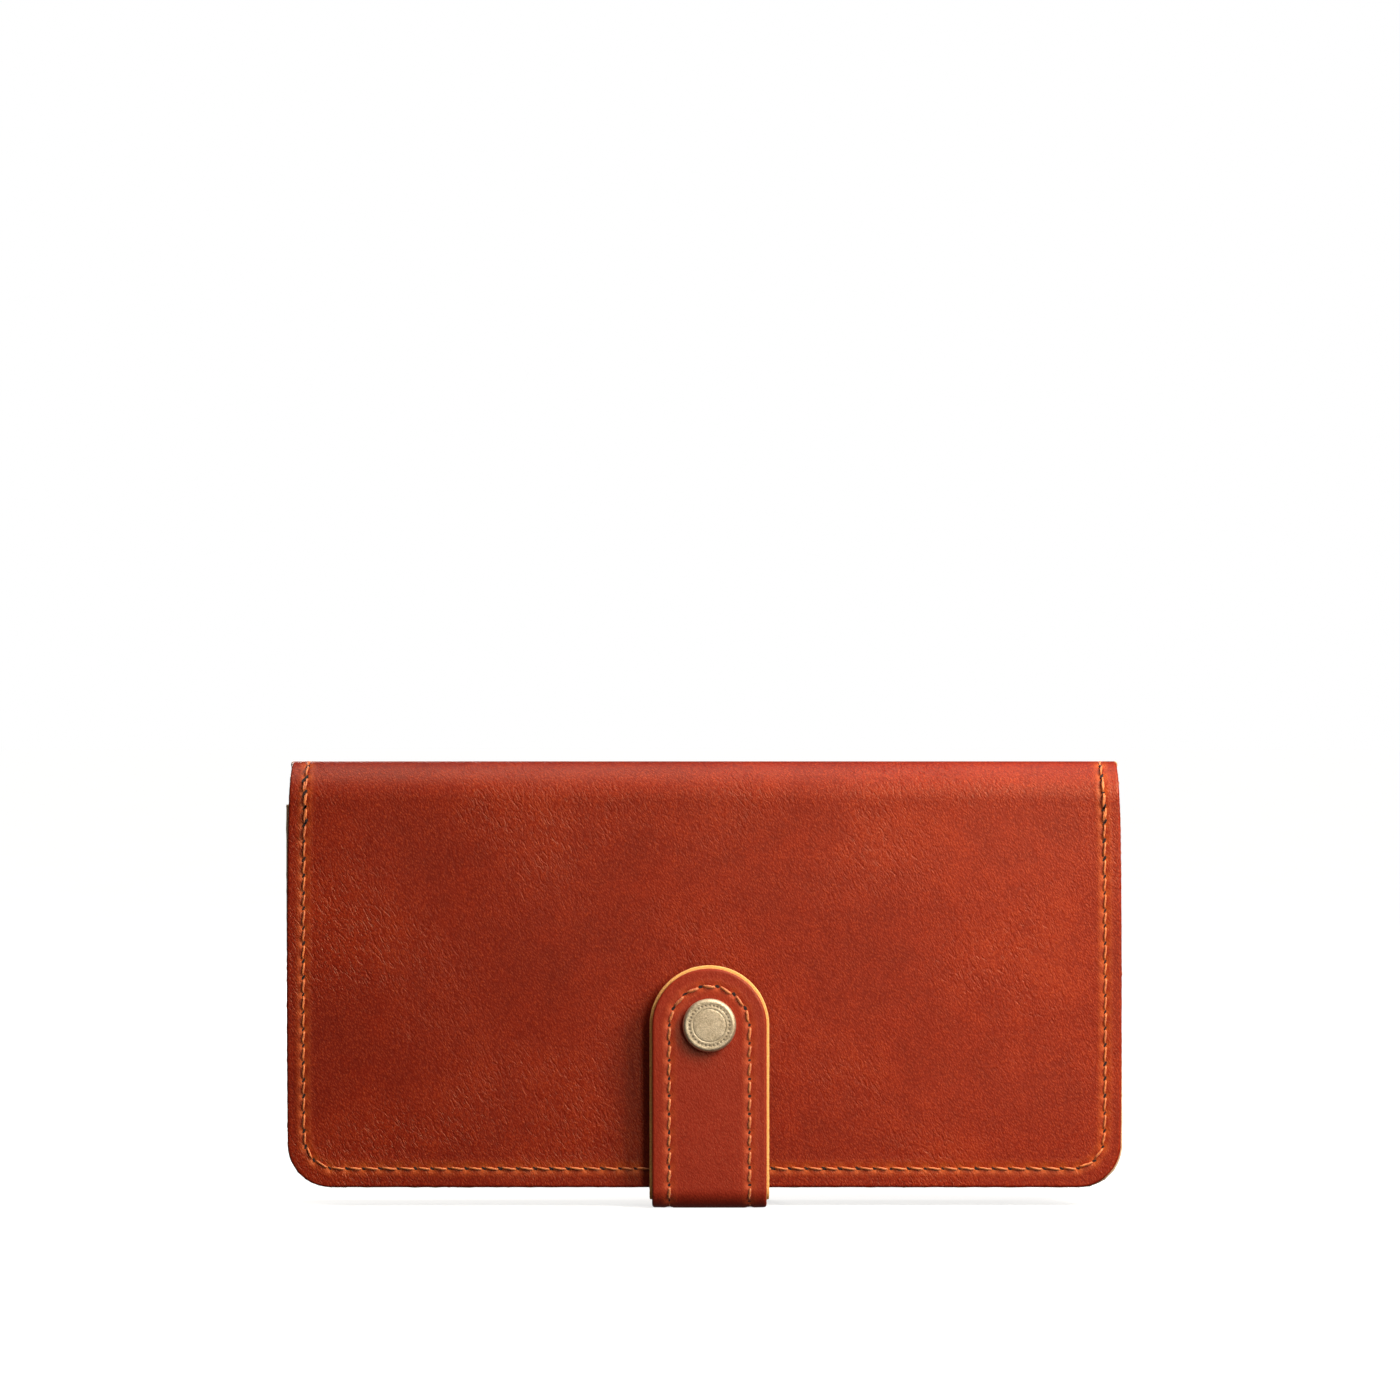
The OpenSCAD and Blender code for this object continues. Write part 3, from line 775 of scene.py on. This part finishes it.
front_tacks = back_tacks(FRONT_WIDTH, 86 * MM, 96 * MM)
rear_tacks = back_tacks(BACK_WIDTH, 84 * MM, 93 * MM)
HIDE_SEAM = dict(width=0.52 * MM, hole_size=1.25, gap=0.35 * MM, cant=0.5, crest=APEX - 5 * MM)
front_stitches = seam_object(
    "front_stitches", [front_holes] + front_tacks, FRONT_PLACE, THREAD, **HIDE_SEAM
)
back_stitches = seam_object(
    "back_stitches", [back_holes] + rear_tacks, BACK_PLACE, THREAD, turned=-1.0, **HIDE_SEAM
)


def over_front(obj):
    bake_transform(obj)


def over_back(obj):
    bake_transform(obj)


over_front(front_hide)
over_front(front_stitches)
over_back(back_hide)
over_back(back_stitches)
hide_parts("front_cover", "spine_cover")
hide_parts("back_cover")
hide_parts("front_seam_thread", "spine_threads")
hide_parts("back_seam_thread")

# ---- the strap

BOTTOM_CUT = -2 * MM  # where the tail and the tab meet under the wallet
BEND_OUT = 2 * LAYER_T + 0.9 * MM  # outer radius of the strap's bends
TAB_FLAT = (BOTTOM_CUT - LEG_Y) - BEND_OUT  # flat run under the wallet, to the front bend
BEND_LENGTH = BEND_OUT * math.pi / 2
TAB_LINE = bend_line(
    (BOTTOM_CUT, 0.0), math.pi, [(TAB_FLAT, 0), (BEND_LENGTH, BEND_OUT), (1.0, 0)]
)
TAB_PLACE = laid_along(TAB_LINE)
TAIL_TOP = tail_high.z
TAIL_LEG = TAIL_TOP - BEND_OUT
TAIL_LINE = bend_line(
    (TAIL_Y, TAIL_TOP), -math.pi / 2, [(TAIL_LEG, 0), (BEND_LENGTH, BEND_OUT), (1.0, 0)]
)
TAIL_PLACE = laid_along(TAIL_LINE)
TAIL_LENGTH = TAIL_LEG + BEND_LENGTH + (TAIL_Y - BEND_OUT) - BOTTOM_CUT


def tab_reach(z):
    """Flat distance along the tab's outer face to a height on its leg."""
    return TAB_FLAT + BEND_LENGTH + z - BEND_OUT


def strap_grid(half_w, end, fine):
    """The strap's flat grid, with its round end at v = end, and the distance from the cut edge."""
    xs = columns(half_w, fine * 1.6, fine, 7 * MM)
    straight = end - half_w
    angles = np.radians(np.arange(0, 90.1, 3.0))
    vs = np.concatenate([steps(0, straight, fine), straight + half_w * np.sin(angles)[1:]])
    x, v = np.meshgrid(xs, vs, indexing="ij")
    over = np.clip(v - straight, 0, half_w)
    width = np.maximum(np.sqrt(np.maximum(half_w ** 2 - over ** 2, 0)), 0.4 * MM)
    distance = np.where(v > straight, half_w - np.hypot(x * width / half_w, v - straight), half_w - np.abs(x))
    return STRAP_X + x * width / half_w, v, np.maximum(distance, 0)


STRAP_FUZZ = 0.03 * MM


def strap_lining(name, grid, place):
    """The strap's second layer, which lies inside the same bend."""
    x, v, distance = grid
    return solid_sheet(
        name, x, v, lambda x, v, off: place(x, v, off - LAYER_T), LAYER_T,
        [STRAP_EDGE, STRAP_EDGE, STRAP_HIDE], drop=rounding(distance, 0.25 * MM), relief=-0.02 * MM,
        fuzz=STRAP_FUZZ,
    )


def strap_seam_path(end, half_w):
    """Up one side of the strap, round its end and down the other side."""
    side = half_w - STRAP_SEAM
    straight = end - half_w
    left = [(STRAP_X - side, v) for v in np.linspace(0.4 * MM, straight, 20)]
    right = [(STRAP_X + side, v) for v in np.linspace(straight, 0.4 * MM, 20)]
    return left + arc_points((STRAP_X, straight), side, 180, 0, 24) + right


HALF_OUT = (tab_high.x - tab_low.x) / 2
HALF_LIN = (tab_lining_high.x - tab_lining_low.x) / 2
TAB_END = tab_reach(tab_high.z)
TAB_LINING_END = tab_reach(tab_lining_high.z)

x, v, distance = strap_grid(HALF_OUT, TAB_END, 0.55 * MM)
strap_holes = along_path(strap_seam_path(TAB_END, HALF_OUT), 4.2 * MM, 0.10 * MM)
hollow, stretch_and_highlight = seam_relief(x, v, strap_holes, 0.16 * MM, 0.26 * MM)
# The leather sinks a little round the snap cap, and swells between the two seams.
from_cap = np.hypot(x - SNAP_X, v - tab_reach(SNAP_Z))
press = -0.25 * MM * bell(from_cap - SNAP_R, 2.2 * MM)
swell = 0.10 * MM * smooth(distance / (8 * MM))
tab_outer = solid_sheet(
    "strap_outer", x, v, TAB_PLACE, LAYER_T, [STRAP_HIDE, STRAP_EDGE, FLESH],
    drop=rounding(distance, 0.55 * MM), relief=hollow + press + swell, stretch_and_highlight=stretch_and_highlight, fuzz=STRAP_FUZZ,
)
tab_lining = strap_lining("strap_lining", strap_grid(HALF_LIN, TAB_LINING_END, 0.8 * MM), TAB_PLACE)
tab_stitches = seam_object(
    "strap_stitches", [strap_holes], TAB_PLACE, STRAP_THREAD, width=0.66 * MM, height=0.02 * MM,
    hole_size=1.6, gap=0.48 * MM, cant=0.25, pressed=TAB_FLAT + 0.7 * BEND_LENGTH,
)
for piece in (tab_outer, tab_lining, tab_stitches):
    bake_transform(piece)
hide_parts("strap_tab_outer")
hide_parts("strap_tab_lining")
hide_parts("strap_tab_thread")


def tail_grid(half_w, length, fine):
    xs = columns(half_w, fine * 1.6, fine, 7 * MM)
    vs = np.concatenate([EDGE_STEPS[:-1], steps(EDGE_STEPS[-1], length, fine)])
    x, v = np.meshgrid(xs, vs, indexing="ij")
    return STRAP_X + x, v, np.minimum(half_w - np.abs(x), v)


def tail_box_path(half_w):
    """The box of stitches that holds the tail to the back cover."""
    side = half_w - STRAP_SEAM
    top, foot = STRAP_SEAM, TAIL_LEG - 6 * MM
    return [
        (STRAP_X - side, foot), (STRAP_X - side, top), (STRAP_X + side, top),
        (STRAP_X + side, foot), (STRAP_X - side, foot),
    ]


x, v, distance = tail_grid(HALF_OUT, TAIL_LENGTH, 0.7 * MM)
corners = tail_box_path(HALF_OUT)
tail_runs = [along_path(corners[k:k + 2], PITCH, 0.08 * MM) for k in range(4)]
hollow, stretch_and_highlight = seam_relief(x, v, np.concatenate(tail_runs), 0.14 * MM)
tail_outer = solid_sheet(
    "strap_tail_outer_leather", x, v, TAIL_PLACE, LAYER_T, [STRAP_HIDE, STRAP_EDGE, FLESH],
    drop=rounding(distance, 0.5 * MM), relief=hollow, stretch_and_highlight=stretch_and_highlight, fuzz=STRAP_FUZZ,
)
tail_lining = strap_lining(
    "strap_tail_lining_leather", tail_grid(HALF_LIN, TAIL_LENGTH, 0.9 * MM), TAIL_PLACE
)
tail_stitches = seam_object(
    "strap_tail_stitches", tail_runs, TAIL_PLACE, STRAP_THREAD, width=0.58 * MM, hole_size=1.35,
    gap=0.40 * MM, cant=0.25,
)
for piece, node in ((tail_outer, "strap_tail_outer"), (tail_lining, "strap_tail_lining"),
                    (tail_stitches, "strap_tail_thread")):
    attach(piece, "back_leaf")
    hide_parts(node)

# ---- the inner layers

PINCH_FULL = 5 * MM  # layers lie flat on each other this near the edge
PINCH_END = 15 * MM  # and stand apart from here on
LINING_T = 0.8 * MM
PINCHED = 0.55 * MM  # how far the seam draws a layer towards the cover
_, lining_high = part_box("front_lining")
back_lining_low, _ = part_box("back_lining")
panel_low, panel_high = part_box("coin_pocket_panel")
INNER_TOP = lining_high.z - BODY_Z
INNER_HALF = lining_high.x
TIERS = [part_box(f"card_tier_{n}") for n in (1, 2, 3, 4)]


def pinch(x, v):
    """1 where the edge seam holds the layers together, 0 where they stand apart."""
    d = edge_distance(x, v, INNER_HALF, CORNER_R)
    return smooth((PINCH_END - d) / (PINCH_END - PINCH_FULL))


def lean(v):
    """The inner layers were sewn in slightly askew: left at the top and right at the bottom."""
    return -0.34 * MM * np.tanh((v - 46 * MM) / (14 * MM))


def front_lining_face(x, v):
    return lining_high.y - PINCHED * pinch(x, v)


def panel_face(x, v):
    top = smooth((v - INNER_TOP + 7 * MM) / (6 * MM))
    room = panel_low.y - lining_high.y
    return panel_high.y - PINCHED * pinch(x, v) - (room - 0.1 * MM) * np.maximum(pinch(x, v), top)


def back_lining_face(x, v):
    return back_lining_low.y + PINCHED * pinch(x, v)


def tier_face(n):
    """The visible face of card tier n. At the seam it lies on the tiers that reach that height,
    and down the middle the divider seam draws it towards the lining."""

    def at(x, v):
        below = sum(smooth((v + BODY_Z - TIERS[k][0].z + 5 * MM) / (5 * MM)) for k in range(n - 1))
        flat = front_high.y * -1 - 0.05 * MM - LINING_T * (2 + below)
        divider = 0.13 * n * MM * bell(x, 5 * MM)
        relaxed = TIERS[n - 1][0].y + divider
        return relaxed + (flat - relaxed) * pinch(x, v)

    return at


def with_lines(values, *lines):
    """The grid lines, with these lines added in place of any that lie almost on them."""
    extra = np.concatenate([np.atleast_1d(line) for line in lines])
    far = np.all(np.abs(values[:, None] - extra[None]) > 0.3 * MM, axis=1)
    return np.sort(np.concatenate([values[far], extra]))


def crease_line(distance, at, depth=0.10 * MM):
    """A line pressed into the leather with a hot creaser, beside the edge."""
    return -depth * bell(distance - at, 0.30 * MM)


def inner_layer(name, node, side, face, low, high, half_w, corner, seed, holes=None, window=None,
                shift=None, creased=False):
    """One leather layer inside the wallet, upright, with its visible face towards side * Y."""
    xs = columns(half_w, 1.6 * MM, 0.8 * MM, 12 * MM)
    ends = EDGE_STEPS[:-1]
    rows = corner_rows(corner) if corner else ends
    vs = np.concatenate([
        rows[:-1], steps(rows[-1], high - low - EDGE_STEPS[-1], 1.3 * MM), high - low - ends[::-1]
    ])
    if window:
        (x0, x1), (v0, v1) = window
        xs = with_lines(xs, x0 - ends, x1 + ends)
        vs = with_lines(vs, v0 - low - ends, v1 - low + ends)
    x, v, distance = leaf_grid(xs, vs, half_w, corner or 0.01 * MM, lambda h: half_w + 0 * h)
    from_top = high - low - v
    distance = np.minimum(distance, from_top)
    kept = None
    if window:
        beside = np.hypot(
            np.maximum(np.maximum(x0 - x, x - x1), 0), np.maximum(np.maximum(v0 - low - v, v + low - v1), 0)
        )
        distance = np.minimum(distance, beside)
        middle_x = (x[1:, 1:] + x[:-1, :-1]) / 2
        middle_v = (v[1:, 1:] + v[:-1, :-1]) / 2 + low
        kept = ~((middle_x > x0) & (middle_x < x1) & (middle_v > v0) & (middle_v < v1))
    v = v + low
    relief = drift(x, v, 30 * MM, 0.05 * MM, seed) * smooth(distance / (4 * MM))
    stretch_and_highlight = None
    if holes is not None:
        hollow, stretch_and_highlight = seam_relief(x, v, holes, 0.06 * MM, 0.14 * MM)
        relief = relief + hollow
    if creased:
        relief = relief + crease_line(from_top, 1.9 * MM)
    if window:
        relief = relief + crease_line(beside, 1.0 * MM, 0.06 * MM)
    if shift:
        x = x + shift(v)
    obj = solid_sheet(
        name, x, v, laid_flat(face, side), LINING_T, [INNER_HIDE, INNER_EDGE, FLESH],
        drop=rounding(distance, 0.28 * MM), relief=relief, stretch_and_highlight=stretch_and_highlight, kept=kept, flip=side > 0,
    )
    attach(obj, "front_leaf" if side > 0 else "back_leaf")
    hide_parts(node)


INNER_SEAM = INNER_HALF - 3.2 * MM
LAYER_LIFT = 0.7 * MM  # the back lining's lower edge above the cover's
INNER_JITTER = 0.1 * MM


def inner_seam_holes(top):
    """The holes of the seam round an inner layer that ends at this height."""
    return along_path(leaf_seam_path(top, lambda h: INNER_SEAM), PITCH, INNER_JITTER)


front_inner_holes = inner_seam_holes(INNER_TOP - 2 * MM)
top_holes = along_path([(-84 * MM, INNER_TOP - 2 * MM), (84 * MM, INNER_TOP - 2 * MM)], PITCH, INNER_JITTER)
(teeth_low, _), (_, teeth_high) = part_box("zip_teeth_lower"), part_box("zip_teeth_upper")
ZIP_Z = (teeth_low.z + teeth_high.z) / 2
WINDOW_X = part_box("zip_seam_threads")[1].x
WINDOW_HALF = 5 * MM
window_low, window_high = ZIP_Z - WINDOW_HALF - BODY_Z, ZIP_Z + WINDOW_HALF - BODY_Z
zip_runs = [
    along_path([(-WINDOW_X, v), (WINDOW_X, v)], 3.2 * MM, 0.08 * MM)
    for v in (window_low - 2 * MM, window_high + 2 * MM)
]

inner_layer("front_lining_leather", "front_lining", 1, front_lining_face, -0.2 * MM, INNER_TOP,
            HALF_W + 0.02 * MM, CORNER_R, 21, shift=lean)
inner_layer("coin_pocket_leather", "coin_pocket_panel", 1, panel_face, 0.2 * MM, INNER_TOP,
            HALF_W - 0.05 * MM, CORNER_R, 22, holes=np.concatenate([front_inner_holes, top_holes, *zip_runs]),
            window=((-WINDOW_X, WINDOW_X), (window_low, window_high)), shift=lean)
inner_layer("back_lining_leather", "back_lining", -1, back_lining_face, LAYER_LIFT, INNER_TOP,
            INNER_HALF, CORNER_R, 23, creased=True)
tier_tops = [high.z - BODY_Z for _, high in TIERS]
back_inner_runs = [inner_seam_holes(tier_tops[3] - 1.5 * MM)]
strips = [(tier_tops[n + 1] + 1.2 * MM, tier_tops[n] - 1.2 * MM) for n in (2, 1, 0)]
strips.append((tier_tops[0] + 1.0 * MM, INNER_TOP - 0.8 * MM))
for low, high in strips:
    back_inner_runs += [
        along_path([(side, low), (side, high)], PITCH) for side in (-INNER_SEAM, INNER_SEAM)
    ]
divider_runs = [along_path([(0, 12 * MM), (0, tier_tops[3] - 1.5 * MM)], PITCH)]
divider_runs += [along_path([(0, low), (0, high)], PITCH) for low, high in strips[:3]]
for n, (low, high) in enumerate(TIERS, 1):
    if n == 4:
        own = [back_inner_runs[0], divider_runs[0]]
    else:
        own = back_inner_runs[7 - 2 * n:9 - 2 * n] + [divider_runs[4 - n]]
    inner_layer(
        f"card_tier_leather_{n}", f"card_tier_{n}", -1, tier_face(n), low.z - BODY_Z, high.z - BODY_Z,
        INNER_HALF, CORNER_R if n == 4 else 0, 30 + n, holes=np.concatenate(own), creased=True,
    )


def exposed_face(x, v):
    """The nearest face of the back leaf's inside at this height."""
    faces = [tier_face(n)(x, v) for n in (4, 3, 2, 1)]
    return np.select([v < tier_tops[n - 1] for n in (4, 3, 2, 1)], faces, back_lining_face(x, v))


def inner_stitches(name, runs, face, side, **look):
    return seam_object(name, runs, laid_flat(face, side), THREAD, hole_top=0.10 * MM, **look)


front_inner = inner_stitches("front_inner_stitches", [front_inner_holes], panel_face, 1, turned=-1.0)
zip_stitches = inner_stitches("zip_stitches", zip_runs + [top_holes], panel_face, 1, width=0.46 * MM)
back_inner = inner_stitches("back_inner_stitches", back_inner_runs, exposed_face, -1)
divider_stitches = inner_stitches("card_divider_stitches", divider_runs, exposed_face, -1)
for piece in (front_inner, zip_stitches, back_inner, divider_stitches):
    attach(piece, "front_leaf" if piece in (front_inner, zip_stitches) else "back_leaf")
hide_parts("zip_seam_threads")
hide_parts("card_divider_thread")

# The spine's own lining, glued inside the hide. Its skived ends run down behind the linings.
SPINE_LINING_T = 0.5 * MM
SKIVED = 9 * MM
SPINE_R = HALF_T - COVER_T - 0.04 * MM
LINING_LINE = bend_line((-SPINE_R, SPINE_Z - SKIVED), math.pi / 2, [(SKIVED, 0), (1.0, SPINE_R)])
LINING_APEX = SKIVED + SPINE_R * math.pi / 2


def spine_lining_half(name, mirror):
    xs = columns(INNER_HALF, 2.0 * MM, 1.0 * MM, 10 * MM)
    vs = np.concatenate([EDGE_STEPS[:-1], steps(EDGE_STEPS[-1], LINING_APEX + LAP, 0.8 * MM)])
    x, v = np.meshgrid(xs, vs, indexing="ij")
    distance = np.minimum(INNER_HALF - np.abs(x), v)
    return solid_sheet(
        name, x, v, laid_along(LINING_LINE, mirror), SPINE_LINING_T, [FLESH, INNER_EDGE, INNER_HIDE],
        drop=rounding(distance, 0.15 * MM), relief=0.006 * MM * (-1 if mirror else 1) - 0.01 * MM,
        flip=mirror,
    )


front_spine_lining = spine_lining_half("front_spine_lining", False)
back_spine_lining = spine_lining_half("back_spine_lining", True)
over_front(front_spine_lining)
over_back(back_spine_lining)
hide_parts("spine_lining")

# ---- the zip


TAPE_T = 0.4 * MM
TAPE_DEPTH = LINING_T + 0.02 * MM  # behind the panel's face


def tape(name, node):
    """A woven tape behind the panel, gathered in with it at both ends."""
    low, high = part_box(node)
    xs = steps(-high.x, high.x, 1.6 * MM)
    vs = steps(low.z - BODY_Z, high.z - BODY_Z, 0.8 * MM)
    x, v = np.meshgrid(xs, vs, indexing="ij")
    place = laid_flat(lambda x, v: panel_face(x, v) - TAPE_DEPTH, 1)
    obj = solid_sheet(name, x, v, place, TAPE_T, [TAPE, TAPE, TAPE], flip=True, fuzz=0.04 * MM)
    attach(obj, "front_leaf")
    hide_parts(node)


tape("woven_tape_lower", "zip_tape_lower")
tape("woven_tape_upper", "zip_tape_upper")


def softened(node, body, slot, material, width):
    """The metal piece with its edges broken, as plating and wear leave them."""
    name = node + "_brass"
    built = bmesh.new()
    built.from_mesh(bpy.data.objects[node].data)
    bmesh.ops.remove_doubles(built, verts=built.verts, dist=0.0005 * MM)
    bmesh.ops.dissolve_limit(
        built, angle_limit=math.radians(1.5), verts=built.verts, edges=built.edges, delimit=set()
    )
    mesh = bpy.data.meshes.new(name)
    built.to_mesh(mesh)
    built.free()
    mesh.materials.clear()
    obj = add_object(name, mesh, [material])
    bevel = obj.modifiers.new("edges", "BEVEL")
    bevel.width = width
    bevel.segments = 2
    bevel.limit_method = "ANGLE"
    bevel.angle_limit = math.radians(40)
    bevel.use_clamp_overlap = True
    evaluated = obj.evaluated_get(bpy.context.evaluated_depsgraph_get())
    final = bpy.data.meshes.new_from_object(evaluated)
    obj.modifiers.clear()
    obj.data = final
    final.name = name
    final.polygons.foreach_set("use_smooth", np.ones(len(final.polygons), bool))
    final.set_sharp_from_angle(angle=math.radians(50))
    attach(obj, body)
    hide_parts(node)


for node, body, slot, material, width in (
    ("zip_teeth_lower", "front_leaf", "zip_metal", ZIP_METAL, 0.22),
    ("zip_teeth_upper", "front_leaf", "zip_metal", ZIP_METAL, 0.22),
    ("zip_top_stops", "front_leaf", "zip_metal", ZIP_METAL, 0.25),
    ("zip_bottom_stop", "front_leaf", "zip_metal", ZIP_METAL, 0.25),
    ("zip_slider", "zip_slide_body", "zip_metal", ZIP_METAL, 0.18),
    ("zip_puller", "zip_slide_body", "zip_metal", ZIP_METAL, 0.16),
    ("snap_stud", "front_leaf", "snap_metal", SNAP_METAL, 0.14),
    ("snap_eyelet", "front_leaf", "snap_metal", SNAP_METAL, 0.12),
    ("snap_socket", "strap_tab", "snap_metal", SNAP_METAL, 0.20),
):
    softened(node, body, slot, material, width * MM)
spring = bpy.data.objects["snap_spring"]
spring.data.materials.clear()
spring.data.materials.append(SNAP_METAL)

# ---- the snap cap


def snap_cap():
    """A pressed cap: flat face, a ring of small punched dots, a rolled rim and a short skirt down to the
    strap.
    """
    top = LEG_Y - cap_low.y                       # how far the cap stands off the strap
    segments = 160
    dots = 32
    dot_r = 4.7 * MM
    groove_r, lip_r, face_r = 3.85 * MM, 5.42 * MM, 5.3 * MM
    roll = 0.95 * MM                              # radius of the rolled rim
    dish = 0.10 * MM
    face = np.concatenate([
        np.linspace(0.3, 3.6, 8), np.array([3.72, 3.85, 3.98]), np.linspace(4.1, 5.3, 10)
    ]) * MM
    shoulder = [
        (SNAP_R - roll * (1 - math.sin(a)), top - roll * (1 - math.cos(a)))
        for a in np.radians(np.arange(6, 91, 7))
    ]
    skirt = [(SNAP_R, top - 1.25 * MM), (SNAP_R - 0.12 * MM, top - 1.7 * MM),
             (SNAP_R - 0.45 * MM, -0.12 * MM), (SNAP_R - 1.0 * MM, -0.25 * MM)]
    rows = [(r, top - 0.02 * MM) for r in face] + shoulder + skirt
    angles = np.linspace(0, 2 * math.pi, segments, endpoint=False)
    points, dark = [], []
    for r, off in rows:
        ring = -0.07 * MM * bell(r - groove_r, 0.10 * MM)
        rim = -0.05 * MM * bell(r - lip_r, 0.12 * MM)
        dome = dish * (1 - (r / SNAP_R) ** 2) - dish if r < face_r else 0.0
        for a in angles:
            near = (a * dots / (2 * math.pi) + 0.5) % 1 - 0.5
            gap = math.hypot(near * 2 * math.pi * dot_r / dots, r - dot_r)
            dent = bell(gap, 0.19 * MM)
            lift = off + ring + rim + dome - 0.12 * MM * dent
            points.append((SNAP_X + r * math.cos(a), LEG_Y - lift, SNAP_Z + r * math.sin(a)))
            dark.append(min(1.0, dent * 1.3 + (0.5 if ring < -0.03 * MM else 0.0)))
    faces = [tuple(range(segments))[::-1]]
    for i in range(len(rows) - 1):
        for k in range(segments):
            a, b = i * segments + k, i * segments + (k + 1) % segments
            faces.append((a, b, b + segments, a + segments))
    last = (len(rows) - 1) * segments
    faces.append(tuple(last + k for k in range(segments)))
    mesh = bpy.data.meshes.new("snap_cap_brass")
    mesh.from_pydata(points, [], faces)
    mesh.polygons.foreach_set("use_smooth", np.ones(len(faces), bool))
    mesh.attributes.new("patina", "FLOAT", "POINT").data.foreach_set("value", np.array(dark, np.float32))
    obj = add_object("snap_cap_brass", mesh, [CAP_METAL])
    face_outward(mesh)
    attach(obj, "strap_tab")
    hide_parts("snap_cap")


snap_cap()

# ---- camera, floor and light

CAMERA_HEIGHT = 119 * MM
CAMERA_DISTANCE = 1.30
FRAME_WIDTH = 329 * MM
SENSOR = 36.0

camera = add_object("camera", bpy.data.cameras.new("camera"))
camera.data.sensor_width = SENSOR
camera.data.lens = SENSOR * (CAMERA_DISTANCE - HALF_T) / FRAME_WIDTH
camera.location = (-1.0 * MM, -CAMERA_DISTANCE, CAMERA_HEIGHT)
camera.rotation_euler = (math.pi / 2, 0, 0)
camera.data.clip_end = 60
bpy.context.scene.camera = camera
bpy.context.scene.view_settings.view_transform = "Standard"

floor_mesh = bpy.data.meshes.new("studio_floor")
grid = bmesh.new()
bmesh.ops.create_grid(grid, x_segments=8, y_segments=8, size=12)
grid.to_mesh(floor_mesh)
grid.free()
floor = add_object("studio_floor", floor_mesh, [floor_material()])
floor.location.z = -0.05 * MM  # just clear of the wallet's lowest face
floor.visible_diffuse = False
floor.visible_glossy = False


def lamp(name, kind, energy, place, aim, **settings):
    light = bpy.data.lights.new(name, kind)
    light.energy = energy
    for key, value in settings.items():
        setattr(light, key, value)
    obj = add_object(name, light)
    obj.location = place
    obj.visible_camera = False
    obj.rotation_euler = (Vector(aim) - Vector(place)).to_track_quat("-Z", "Y").to_euler()


WARM = (1.0, 0.95, 0.88)
lamp("overhead", "SUN", 2.0, (0.15, -0.1, 2.0), (0, 0, 0), angle=math.radians(60))
for name, energy, place, aim, width, height in (
    ("key", 2.7, (0.34, -0.27, 0.31), (0.04, 0, 0.06), 0.18, 0.24),
    ("haze", 2.1, (0.23, -0.58, 0.27), (0.06, 0, 0.06), 0.12, 0.60),
    ("top", 4.0, (0.50, -0.30, 0.72), (0.04, 0, 0.10), 0.45, 0.35),
    ("rear", 7.0, (-0.45, 1.10, 0.42), (0, 0, 0.05), 0.5, 0.4),
):
    lamp(name, "AREA", energy, place, aim, shape="RECTANGLE", size=width, size_y=height, color=WARM)

world = bpy.data.worlds.new("studio")
bpy.context.scene.world = world
world.use_nodes = True
nodes, links = world.node_tree.nodes, world.node_tree.links
ambient, backdrop = nodes["Background"], nodes.new("ShaderNodeBackground")
chooser = nodes.new("ShaderNodeMixShader")
seen_by = nodes.new("ShaderNodeLightPath")
for node, strength in ((ambient, 0.08), (backdrop, 1.0)):
    node.inputs["Color"].default_value = (1, 1, 1, 1)
    node.inputs["Strength"].default_value = strength
links.new(seen_by.outputs["Is Camera Ray"], chooser.inputs[0])
links.new(ambient.outputs[0], chooser.inputs[1])
links.new(backdrop.outputs[0], chooser.inputs[2])
links.new(chooser.outputs[0], nodes["World Output"].inputs["Surface"])
